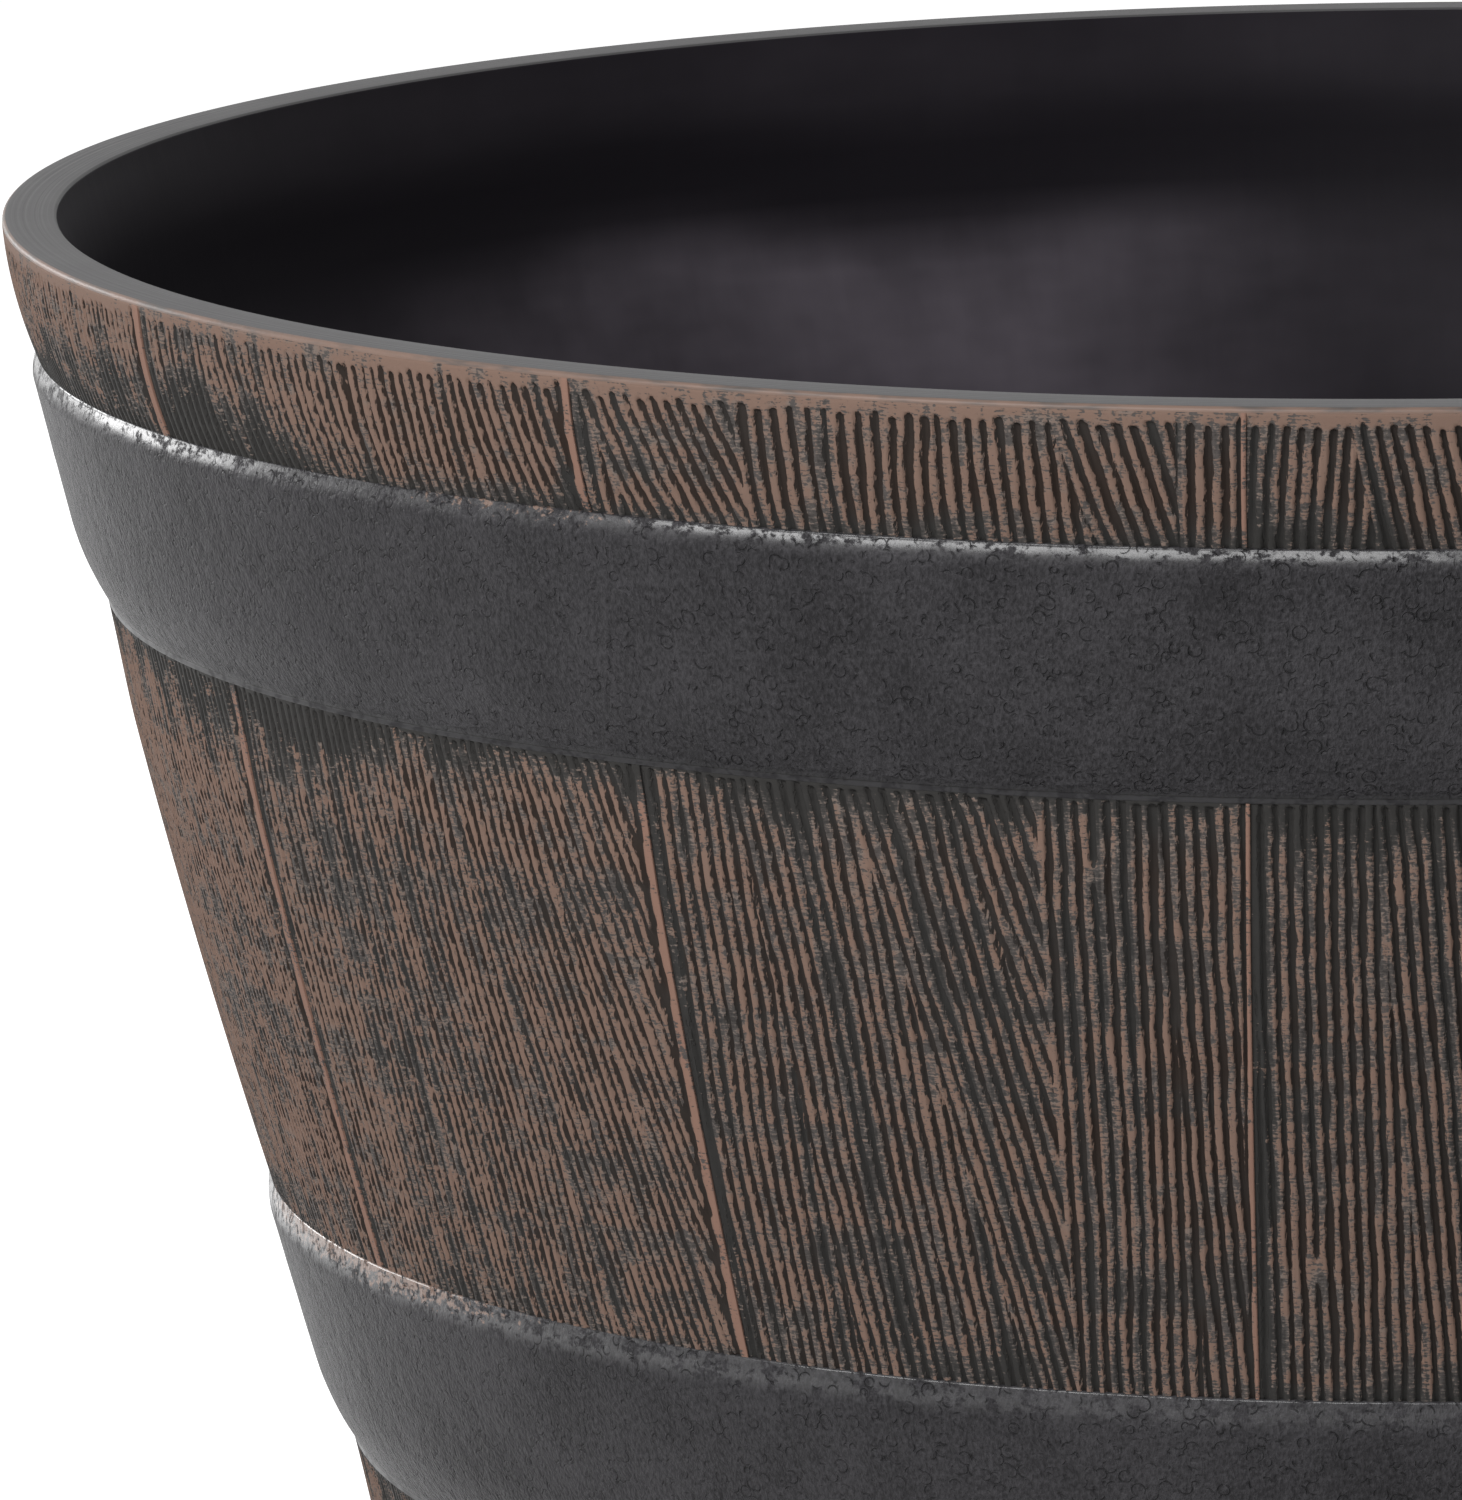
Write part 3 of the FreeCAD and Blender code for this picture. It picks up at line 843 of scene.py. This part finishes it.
    def press(self, angle, drop, radius):
        """Depth below the ridges, and what the paint reads, for points on the face."""
        tub = self.tub
        grain = self.grain
        turned = self.turned(angle)
        across = turned / self.sweep * self.width
        edge = np.ones(angle.shape)
        side = np.zeros(angle.shape)
        brush = np.zeros(angle.shape)
        under = np.zeros(angle.shape)
        for zone, (top, low) in enumerate(stave_zones(tub)):
            inside = (drop > top - SLACK_HEIGHT) & (drop < low + SLACK_HEIGHT)
            place_across = across[inside]
            fall = drop[inside] - top
            rise = low - drop[inside]
            edges, side[inside], own = self.lines(zone, place_across, fall)
            begun = self.begun(zone, fall, own)
            edge[inside] = 0.5 + (edges - 0.5) * begun
            brush[inside] = self.brushed(zone, place_across, fall, rise, begun, own)
            if zone > 0:
                under[inside] = 1.0 - ramp(fall / tub.fillet_height, *FILLET_END)
        # The hollow and bare resin to the right of a seam, and the lip and gutter to its left
        from_left = turned * radius
        below_strip = ramp(drop, grain.rim_strip - SEAM_FADE, grain.rim_strip)
        hollow = (1.0 - ramp(from_left, 0.0, grain.seam_slope)) * below_strip
        bare = SEAM_LOSS + SEAM_LOSS_BELOW * ramp(drop, tub.upper_hoop_drop, tub.lower_hoop_drop * 0.5)
        lips_off = (self.sweep - turned) * radius / self.lip
        wobble = 1.0 + LIP_WOBBLE * self.patches(0.5, drop / (4.0 * MM))
        lip = 1.0 - ramp(lips_off / wobble, *LIP_END)
        gutter = ramp(lips_off, *GUTTER_START) - ramp(lips_off, *GUTTER_END)
        edge = np.maximum(edge - 0.9 * gutter * below_strip, -1.0 + 1.7 * lip)
        brush = brush + LIP_EXTRA * lip - bare * ramp(hollow, 0.25, 0.75)
        grooved = grain.depth * (1.0 - ramp(edge, *GROOVE_WALL)) * ramp(from_left, 0.0, GROOVE_START)
        depth = grooved + grain.seam_step * hollow + tub.fillet * under
        return depth, {"edge": edge, "side": side, "brush": brush, "lip": lip}


# Pieces

# Haze and painted sheen of reflected light on the inside: angle and half width in degrees, and amount
HAZE_AND_SHEEN_PATCHES = ((122.0, 30.0, 1.0), (10.0, 24.0, 0.5), (205.0, 20.0, 0.6), (300.0, 35.0, 0.7))

# Haze and painted sheen by their drop below the rim: the thin band's end, and where the lower patches start
# and thin out
HAZE_AND_SHEEN_BAND_END = (8.0 * MM, 22.0 * MM)
HAZE_AND_SHEEN_START = (30.0 * MM, 46.0 * MM)
HAZE_AND_SHEEN_THINS = (60.0 * MM, 100.0 * MM)

# Amounts of haze and painted sheen: in the thin band, lower down between the patches, and what is lost as
# they thin out
BAND_HAZE_AND_SHEEN = 0.15
PLAIN_HAZE_AND_SHEEN = 0.2
HAZE_AND_SHEEN_LOSS = 0.8

# The core's mesh: rows up the outside and down the inside, the first of which is this far below the
# rim, and rings on the land and the floor as shares of their width
OUTSIDE_ROWS = 24
INSIDE_ROWS = 64
INSIDE_START = 4.0 * MM
LAND_RINGS = (0.3, 0.55)
FLOOR_RINGS = (0.75, 0.5, 0.25)

# Bevel of the foot's inner edge, the wall's lean at the floor in degrees, and the cutters of the drains
FOOT_BEVEL = 0.6 * MM
WALL_LEAN = -6.0
DRAIN_CUT = 60.0 * MM
DRAIN_SIDES = 72

# Edges that turn more than this stay sharp
CORE_SHARP = math.radians(38.0)
PLUG_SHARP = math.radians(40.0)

# Finishes of the core's faces, and how far down or in the last two reach
INSIDE, LAND, PAINTED_EDGE = range(3)
LAND_REACH = 1.6 * MM
EDGE_REACH = 2.0 * MM
BASE_REACH = 6.0 * MM


class PLANTER_OT_tub_core(bpy.types.Operator):
    """Builds the smooth core of the tub: rim, inside, floor with its drains, and foot"""
    bl_idname = "planter.tub_core"
    bl_label = "Tub core"

    def section(self, tub):
        """Half section from the underside's middle, up the outside and down the inside."""
        high = tub.height
        foot_inner = tub.base_radius - tub.foot_width
        corner = tub.foot_corner
        floor_top = tub.foot_height + tub.floor_thickness
        base = tub.base_round
        points = [(0.0, tub.foot_height), (foot_inner * 0.5, tub.foot_height)]
        points += arc(foot_inner - corner, tub.foot_height - corner, corner, 90.0, 0.0, steps=6)
        points += [(foot_inner, FOOT_BEVEL), (foot_inner + FOOT_BEVEL, 0.0)]
        points += arc(float(stave_face(tub, high - base)) - base, base, base, -90.0, 0.0, steps=8)
        points.append((float(stave_face(tub, high - tub.skin_base)), tub.skin_base))
        drops = np.linspace(high - tub.skin_base, tub.skin_top, OUTSIDE_ROWS)
        points += [(float(stave_face(tub, drop)) - tub.recess, high - drop) for drop in drops]
        edge = tub.rim_outer_round
        points.append((tub.reach, high - tub.skin_top))
        points += arc(tub.reach - edge, high - edge, edge, 0.0, 90.0, steps=5)
        inner_rim = tub.rim_radius - tub.wall
        points += [(tub.reach - tub.wall * part, high) for part in LAND_RINGS]
        inner_round = tub.rim_inner_round
        points += arc(inner_rim + inner_round, high - inner_round, inner_round, 90.0, 180.0, steps=6)
        drops = np.linspace(INSIDE_START, high - floor_top - tub.floor_corner, INSIDE_ROWS)
        points += [(float(inner_face(tub, drop)), high - drop) for drop in drops]
        wall_foot = points[-1][0]
        points += arc(wall_foot - tub.floor_corner, floor_top + tub.floor_corner, tub.floor_corner,
                      WALL_LEAN, -90.0, steps=8)
        points += [(wall_foot * part, floor_top) for part in FLOOR_RINGS]
        points.append((0.0, floor_top))
        return points

    def cutters(self, tub):
        """Solids of the drains and of the foot's notches, in one object."""
        bm = bmesh.new()
        for node in PLUG_NODES:
            low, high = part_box(node)
            middle = (low + high) / 2.0
            bmesh.ops.create_cone(bm, cap_ends=True, segments=DRAIN_SIDES, radius1=tub.drain_radius,
                                  radius2=tub.drain_radius, depth=DRAIN_CUT,
                                  matrix=Matrix.Translation((middle.x, middle.y, tub.foot_height)))
        long = tub.foot_width * 3.0
        for number in range(tub.notch_count):
            facing = Matrix.Rotation(FULL_TURN * number / tub.notch_count, 4, "Z")
            shift = Matrix.Translation((tub.base_radius - tub.foot_width / 2.0, 0.0, 0.0))
            size = Matrix.Diagonal((long, tub.notch_width, tub.notch_depth * 2.0, 1.0))
            bmesh.ops.create_cube(bm, size=1.0, matrix=facing @ shift @ size)
        return make_object(bm, "drain_cutters")

    def execute(self, context):
        tub = context.scene.planter_tub
        bm = bmesh.new()
        draw_section(bm, self.section(tub))
        spin_section(bm, steps=30, sectors=16)
        piece = make_object(bm, "tub_core")
        cutters = self.cutters(tub)
        cut = piece.modifiers.new("drains", "BOOLEAN")
        cut.operation = "DIFFERENCE"
        cut.solver = "EXACT"
        cut.object = cutters
        cut_mesh = bpy.data.meshes.new_from_object(piece.evaluated_get(context.evaluated_depsgraph_get()))
        piece.modifiers.clear()
        piece.data = cut_mesh
        bpy.data.objects.remove(cutters)
        self.finish_faces(tub, cut_mesh)
        # Haze from the mould and painted sheen of reflected light, for the inside's finish
        point_values(cut_mesh, "haze_and_sheen", self.haze_and_sheen(tub, context.scene.planter_grain.seed, cut_mesh))
        colours = context.scene.planter_colours
        place(piece, "tub", "painted_resin", satin_inside_black(colours), turned_rim_grey(colours),
              rubbed_rim_edge(colours))
        return {"FINISHED"}

    def haze_and_sheen(self, tub, seed, mesh):
        """Pale haze, partly from the mould and partly a painted sheen of reflected light: a thin band under
        the rim, and patches below the dark band behind the upper hoop.
        """
        angle, _, up = mesh_points(mesh)
        drop = tub.height - up + 4.0 * MM * NoiseSheet(seed)(angle * 4.0, 0.0)
        band = BAND_HAZE_AND_SHEEN * (1.0 - ramp(drop, *HAZE_AND_SHEEN_BAND_END))
        below = ramp(drop, *HAZE_AND_SHEEN_START) * (1.0 - HAZE_AND_SHEEN_LOSS * ramp(drop, *HAZE_AND_SHEEN_THINS))
        patch = around(angle, HAZE_AND_SHEEN_PATCHES)
        return band + below * (PLAIN_HAZE_AND_SHEEN + (1.0 - PLAIN_HAZE_AND_SHEEN) * patch)

    def finish_faces(self, tub, mesh):
        """Smooth faces, each with its finish."""
        mesh.shade_smooth()
        mesh.set_sharp_from_angle(angle=CORE_SHARP)
        for face in mesh.polygons:
            middle = face.center
            reach = math.hypot(middle.x, middle.y)
            on_top = middle.z > tub.height - LAND_REACH and face.normal.z > 0.5
            at_edge = reach > tub.reach - 0.7 * tub.rim_outer_round
            at_base = reach > tub.base_radius - BASE_REACH and face.normal.z > -0.9
            if at_edge and middle.z > tub.height - EDGE_REACH or at_base and middle.z < tub.skin_base:
                face.material_index = PAINTED_EDGE
            else:
                face.material_index = LAND if on_top else INSIDE


# Spacing of the rows down each stretch of stave, close rows at its start, and rows up the skin's back
ROW_SPACINGS = (1.4 * MM, 1.7 * MM, 2.6 * MM)
CLOSE_ROWS = np.linspace(0.0, 3.0 * MM, 7)
BACK_ROWS = 14

# What the paint reads off the face: on the wall of the right seam, which is painted, and elsewhere
WALL_PAINT = 0.8
BARE_BACK = -1.0

# Share of a stave's turn past which a point is on the wall of its right seam
RIGHT_WALL = 0.999


class PLANTER_OT_staves(bpy.types.Operator):
    """Builds the pressed skins of the staves, with their grain and seams"""
    bl_idname = "planter.staves"
    bl_label = "Staves"

    def drops(self, tub):
        """Rows down the outside: close together where the grain shows."""
        rows = [np.array([tub.skin_top])]
        for (top, low), spacing in zip(stave_zones(tub), ROW_SPACINGS):
            first = max(top, tub.skin_top)
            last = min(low, tub.height - tub.skin_base)
            rows.append(np.linspace(first, last, int((last - first) / spacing) + 2))
            rows.append(first + CLOSE_ROWS)
        return np.unique(np.concatenate(rows).round(6))

    def execute(self, context):
        tub = context.scene.planter_tub
        grain = context.scene.planter_grain
        finish = brushed_stave_paint(context.scene.planter_colours)
        slab = self.make_slab(tub, grain)
        for index in range(grain.staves):
            pressed = StaveGrain(tub, grain, index)
            bm = slab.copy()
            bmesh.ops.rotate(bm, verts=bm.verts[:], cent=(0.0, 0.0, 0.0),
                             matrix=Matrix.Rotation(pressed.start, 3, "Z"))
            piece = make_object(bm, f"stave_{index + 1:02d}")
            self.press_grain(tub, pressed, piece.data)
            place(piece, "tub", "painted_resin", finish)
        slab.free()
        return {"FINISHED"}

    def make_slab(self, tub, grain):
        """A smooth stave that starts on the X axis, with its outer face marked."""
        drops = self.drops(tub)
        outer = [(float(stave_face(tub, drop)), tub.height - drop) for drop in drops]
        inner = [(float(stave_face(tub, drop)) - tub.skin, tub.height - drop)
                 for drop in np.linspace(drops[-1], drops[0], BACK_ROWS)]
        bm = bmesh.new()
        on_face = bm.verts.layers.float.new("on_face")
        for vertex in draw_section(bm, outer + inner, closed=True)[:len(outer)]:
            vertex[on_face] = 1.0
        caps = spin_section(bm, steps=42, sectors=8, angle=FULL_TURN / grain.staves)
        for face in bm.faces:
            face.smooth = face not in caps
        return bm

    def press_grain(self, tub, pressed, mesh):
        """Presses the grooves into the outer face, and keeps what the paint reads."""
        marks = np.empty(len(mesh.vertices))
        mesh.attributes["on_face"].data.foreach_get("value", marks)
        mesh.attributes.remove(mesh.attributes["on_face"])
        face = marks > 0.5
        angle, radius, up = mesh_points(mesh)
        drop = tub.height - up
        right_side = pressed.turned(angle) > RIGHT_WALL * pressed.sweep
        depth, values = pressed.press(angle[face], drop[face], radius[face])
        angle = pressed.settle(angle, drop)
        radius[face] -= depth
        move_points(mesh, angle, radius, up)
        for name, on_face in values.items():
            everywhere = np.where(right_side, WALL_PAINT, BARE_BACK)
            everywhere[face] = on_face
            point_values(mesh, name, everywhere)


# Smears of stave paint on the hoops' shoulders: angle, half width in degrees, and amount
SMEARS = {
    "hoop_upper": ((-128.0, 9.0, 0.4), (35.0, 14.0, 0.5), (118.0, 10.0, 0.4)),
    "hoop_lower": ((-156.0, 26.0, 0.6), (-30.0, 12.0, 0.5), (70.0, 20.0, 0.7)),
}

# Where the hoops' shoulders are rubbed to a shine: angle, half width in degrees, and amount
SHINE = ((-160.0, 66.0, 1.0), (-40.0, 25.0, 0.6), (60.0, 50.0, 1.0))

# How far a hoop's hidden back lies inside the side, and how far in its dented face reaches
HOOP_BACK = 2.4 * MM
HOOP_SKIN = 1.5 * MM

# Down a hoop: what is left smooth above and below the dents, and where its fillet shows
DENTS_START = 0.1 * MM
DENTS_END = 0.5 * MM
FILLET_SHOWS = (-0.4 * MM, 0.3 * MM)

# Large dents round a hoop, their height, and the depth of the dents half as large
DENTS_ROUND = 256.0
DENT_HEIGHT = 6.0 * MM
SMALL_DENTS = 0.6

# Rows down a hoop's slope, face and fillet
SLOPE_ROWS = 20
FACE_ROWS = 32
FILLET_ROWS = 8

# Shine of a shoulder and of a fillet, the share of the shoulder's that every place has, and where that
# shine and the smears end, in heights of the shoulder
SHOULDER_SHINE = 0.9
FILLET_SHINE = 0.25
LEAST_SHINE = 0.55
SHINE_END = (0.35, 0.95)
SMEAR_END = (0.1, 1.1)


class PLANTER_OT_hoops(bpy.types.Operator):
    """Builds the two hammered hoops of the moulding"""
    bl_idname = "planter.hoops"
    bl_label = "Hoops"

    def execute(self, context):
        scene = context.scene
        tub = scene.planter_tub
        finish = hammered_hoop_black(scene.planter_colours)
        for name, span in zip(("hoop_upper", "hoop_lower"), hoop_spans(tub)):
            self.make_hoop(scene, tub, name, span, finish)
        return {"FINISHED"}

    def section(self, tub, span):
        """Closed section of a hoop: shoulder, face, bevel and fillet, and its hidden back."""
        top, low, shoulder, _ = span
        slope_end = top + 1.5 * shoulder
        end = low + tub.fillet_height
        slope = np.linspace(top, slope_end, SLOPE_ROWS)
        face = np.linspace(slope_end, low, FACE_ROWS)
        fillet = np.linspace(low, end, FILLET_ROWS)
        drops = np.unique(np.concatenate((slope, face, fillet)).round(6))
        outer = [(float(hoop_face(tub, drop, *span)), tub.height - drop) for drop in drops]
        inner = [(float(barrel(tub, drop)) - HOOP_BACK, tub.height - drop) for drop in (end, top)]
        return outer + inner

    def make_hoop(self, scene, tub, name, span, finish):
        bm = bmesh.new()
        draw_section(bm, self.section(tub, span), closed=True)
        spin_section(bm, steps=36, sectors=32)
        piece = make_object(bm, name)
        piece.data.shade_smooth()
        self.hammer(scene.planter_grain, tub, name, span, piece.data)
        place(piece, "tub", "painted_resin", finish)

    def hammer(self, grain, tub, name, span, mesh):
        """Dents the face, and marks where it shines, is smeared with paint and ends in its fillet."""
        top, low, shoulder, _ = span
        angle, radius, up = mesh_points(mesh)
        drop = tub.height - up
        on_face = (drop > top + DENTS_START) & (drop < low - DENTS_END)
        on_face = on_face & (radius > barrel(tub, drop) - HOOP_SKIN)
        sheet = NoiseSheet(grain.seed + len(name), 128)
        part_round = angle / FULL_TURN * DENTS_ROUND
        dents = sheet(part_round, drop / DENT_HEIGHT)
        dents = dents + SMALL_DENTS * sheet(part_round * 2.0, drop / DENT_HEIGHT * 2.0)
        radius = radius - np.where(on_face, grain.hammer * (0.5 + 0.31 * dents), 0.0)
        fillet = ramp(drop - low, *FILLET_SHOWS)
        down_slope = (drop - top) / shoulder
        rubbed = LEAST_SHINE + (1.0 - LEAST_SHINE) * around(angle, SHINE)
        glossy = SHOULDER_SHINE * (1.0 - ramp(down_slope, *SHINE_END)) * rubbed + FILLET_SHINE * fillet
        smear = around(angle, SMEARS[name]) * (1.0 - ramp(down_slope, *SMEAR_END))
        move_points(mesh, angle, radius, up)
        point_values(mesh, "smear", smear)
        point_values(mesh, "shoulder", glossy)
        point_values(mesh, "fillet", fillet)


# Small shapes of a plug: where the dome ends, as a share of the head's radius, the rounding of the head's
# edge and its drop, the bevel under it, and the bevels of the hollow's mouth and end
DOME_SHARE = 0.94
DOME_ROWS = 12
HEAD_ROUND = 0.8 * MM
HEAD_DROP = 0.5 * MM
HEAD_BEVEL = 0.4 * MM
MOUTH_BEVEL = 0.3 * MM
HOLLOW_BEVEL = 1.0 * MM


class PLANTER_OT_plugs(bpy.types.Operator):
    """Builds the rubber plugs of the drains"""
    bl_idname = "planter.plugs"
    bl_label = "Drain plugs"

    def section(self, tub, plug):
        """Half section from the top of the dome to the top of the hollow."""
        head = tub.drain_radius + plug.flange
        shank = tub.drain_radius - plug.clearance
        bore = shank - plug.wall
        tip = -tub.floor_thickness - plug.reach
        rise = plug.head_height - plug.head_edge
        parts = np.linspace(0.0, DOME_SHARE, DOME_ROWS)
        points = [(head * part, plug.head_height - rise * part ** 2) for part in parts]
        points += arc(head - HEAD_ROUND, plug.head_edge - HEAD_DROP, HEAD_ROUND, 60.0, 0.0, steps=4)
        points += [(head, HEAD_BEVEL), (head - HEAD_BEVEL, 0.0), (shank, 0.0), (shank, tip + plug.lead)]
        points += [(shank - plug.lead, tip), (bore + MOUTH_BEVEL, tip), (bore, tip + MOUTH_BEVEL)]
        points += [(bore, -plug.cap - HOLLOW_BEVEL), (bore - HOLLOW_BEVEL, -plug.cap), (0.0, -plug.cap)]
        return points

    def execute(self, context):
        scene = context.scene
        tub = scene.planter_tub
        finish = plug_rubber_black(scene.planter_colours)
        floor_top = tub.foot_height + tub.floor_thickness
        for node in PLUG_NODES:
            low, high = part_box(node)
            bm = bmesh.new()
            draw_section(bm, self.section(tub, scene.planter_plug))
            spin_section(bm, steps=24, sectors=4)
            middle = (low + high) / 2.0
            bmesh.ops.translate(bm, verts=bm.verts[:], vec=(middle.x, middle.y, floor_top))
            piece = make_object(bm, f"{node}_rubber")
            piece.data.shade_smooth()
            piece.data.set_sharp_from_angle(angle=PLUG_SHARP)
            place(piece, node, "plug_rubber", finish)
        return {"FINISHED"}


# Stage

# Furthest that the camera sees, in metres
CAMERA_SIGHT = 100.0

# Softboxes: degrees to the left of the front, degrees up, metres away, width and height, and watts
SOFTBOXES = {
    "key_softbox": (32.0, 26.0, 2.2, (2.6, 0.42), 60.0),
    "side_softbox": (126.0, 8.0, 2.2, (1.5, 0.5), 16.0),
}


class PLANTER_OT_stage(bpy.types.Operator):
    """Builds the floor, the lights, the world and the camera"""
    bl_idname = "planter.stage"
    bl_label = "Stage"

    def execute(self, context):
        scene = context.scene
        stage = scene.planter_stage
        scene.view_settings.view_transform = "Standard"
        self.make_floor(scene, stage)
        self.make_world(scene, stage)
        rim = Vector((0.0, 0.0, scene.planter_tub.height))
        for name, setting in SOFTBOXES.items():
            self.make_light(scene, name, rim, *setting)
        self.make_camera(scene, stage)
        return {"FINISHED"}

    def make_floor(self, scene, stage):
        bm = bmesh.new()
        bmesh.ops.create_grid(bm, x_segments=4, y_segments=4, size=stage.floor_size / 2.0)
        mesh = bpy.data.meshes.new("studio_floor")
        bm.to_mesh(mesh)
        bm.free()
        floor = bpy.data.objects.new("studio_floor", mesh)
        scene.collection.objects.link(floor)
        shade = Shade("studio_floor_white")
        shade.feed(Base_Color=rgba(scene.planter_colours.floor), Roughness=0.9, Specular_IOR_Level=0.0)
        glow = shade.mix(shade.shown(), (0.0, 0.0, 0.0), (stage.floor_glow,) * 3)
        shade.feed(Emission_Color=glow, Emission_Strength=1.0)
        mesh.materials.append(shade.material)

    def make_world(self, scene, stage):
        """White where it is shown, and a plain light on everything else."""
        world = bpy.data.worlds.new("studio_world")
        world.use_nodes = True
        nodes = Nodes(world.node_tree)
        light = stage.world_light + nodes.shown() * (1.0 - stage.world_light)
        white = nodes.node("ShaderNodeBackground", {}, {"Color": (1.0, 1.0, 1.0, 1.0), "Strength": light})
        nodes.node("ShaderNodeOutputWorld", {}, {"Surface": white.outputs[0]})
        scene.world = world

    def make_light(self, scene, name, target, left_degrees, rise_degrees, away, size, power):
        """A softbox that faces the target, from the left of the front and above."""
        left = math.radians(left_degrees)
        rise = math.radians(rise_degrees)
        level = Vector((-math.sin(left), -math.cos(left), 0.0)) * math.cos(rise)
        light = bpy.data.lights.new(name, "AREA")
        light.shape = "RECTANGLE"
        light.size, light.size_y = size
        light.energy = power
        lamp = bpy.data.objects.new(name, light)
        lamp.location = target + (level + Vector((0.0, 0.0, math.sin(rise)))) * away
        lamp.rotation_euler = (target - lamp.location).to_track_quat("-Z", "Y").to_euler()
        scene.collection.objects.link(lamp)

    def make_camera(self, scene, stage):
        camera = bpy.data.cameras.new("photo_camera")
        camera.sensor_fit = "VERTICAL"
        camera.sensor_height = stage.sensor
        camera.lens = stage.lens
        camera.clip_end = CAMERA_SIGHT
        view = bpy.data.objects.new("photo_camera", camera)
        forward = Vector((-math.sin(stage.yaw) * math.cos(stage.pitch),
                          math.cos(stage.yaw) * math.cos(stage.pitch), -math.sin(stage.pitch)))
        right = Vector((math.cos(stage.yaw), math.sin(stage.yaw), 0.0))
        upward = right.cross(forward)
        turned = Matrix((right, upward, -forward)).transposed().to_4x4()
        lean = Matrix.Rotation(-stage.roll, 4, "Z")
        eye = Vector((0.0, -stage.camera_away, scene.planter_tub.height + stage.camera_rise))
        view.matrix_world = Matrix.Translation(eye) @ turned @ lean
        scene.collection.objects.link(view)
        scene.camera = view


class PLANTER_PT_panel(bpy.types.Panel):
    """Lists the planter's pieces and settings"""
    bl_idname = "PLANTER_PT_panel"
    bl_label = "Barrel Planter"
    bl_space_type = "VIEW_3D"
    bl_region_type = "UI"
    bl_category = "Planter"

    def draw(self, context):
        for operator in OPERATORS:
            self.layout.operator(operator.bl_idname)
        for name in SETTINGS:
            group = getattr(context.scene, name)
            box = self.layout.box()
            for setting in group.bl_rna.properties:
                if not setting.is_readonly and setting.identifier != "name":
                    box.prop(group, setting.identifier)


SETTINGS = {
    "planter_tub": TubSizes,
    "planter_grain": GrainSizes,
    "planter_plug": PlugSizes,
    "planter_colours": FinishColours,
    "planter_stage": StageSizes,
}
OPERATORS = (PLANTER_OT_tub_core, PLANTER_OT_staves, PLANTER_OT_hoops, PLANTER_OT_plugs, PLANTER_OT_stage)


def register():
    for group in SETTINGS.values():
        bpy.utils.register_class(group)
    for name, group in SETTINGS.items():
        setattr(bpy.types.Scene, name, PointerProperty(type=group))
    for item in (*OPERATORS, PLANTER_PT_panel):
        bpy.utils.register_class(item)


def unregister():
    for item in (PLANTER_PT_panel, *reversed(OPERATORS)):
        bpy.utils.unregister_class(item)
    for name, group in SETTINGS.items():
        delattr(bpy.types.Scene, name)
        bpy.utils.unregister_class(group)


def main():
    register()
    bpy.ops.planter.tub_core()
    bpy.ops.planter.staves()
    bpy.ops.planter.hoops()
    bpy.ops.planter.plugs()
    bpy.ops.planter.stage()


if __name__ == "__main__":
    main()
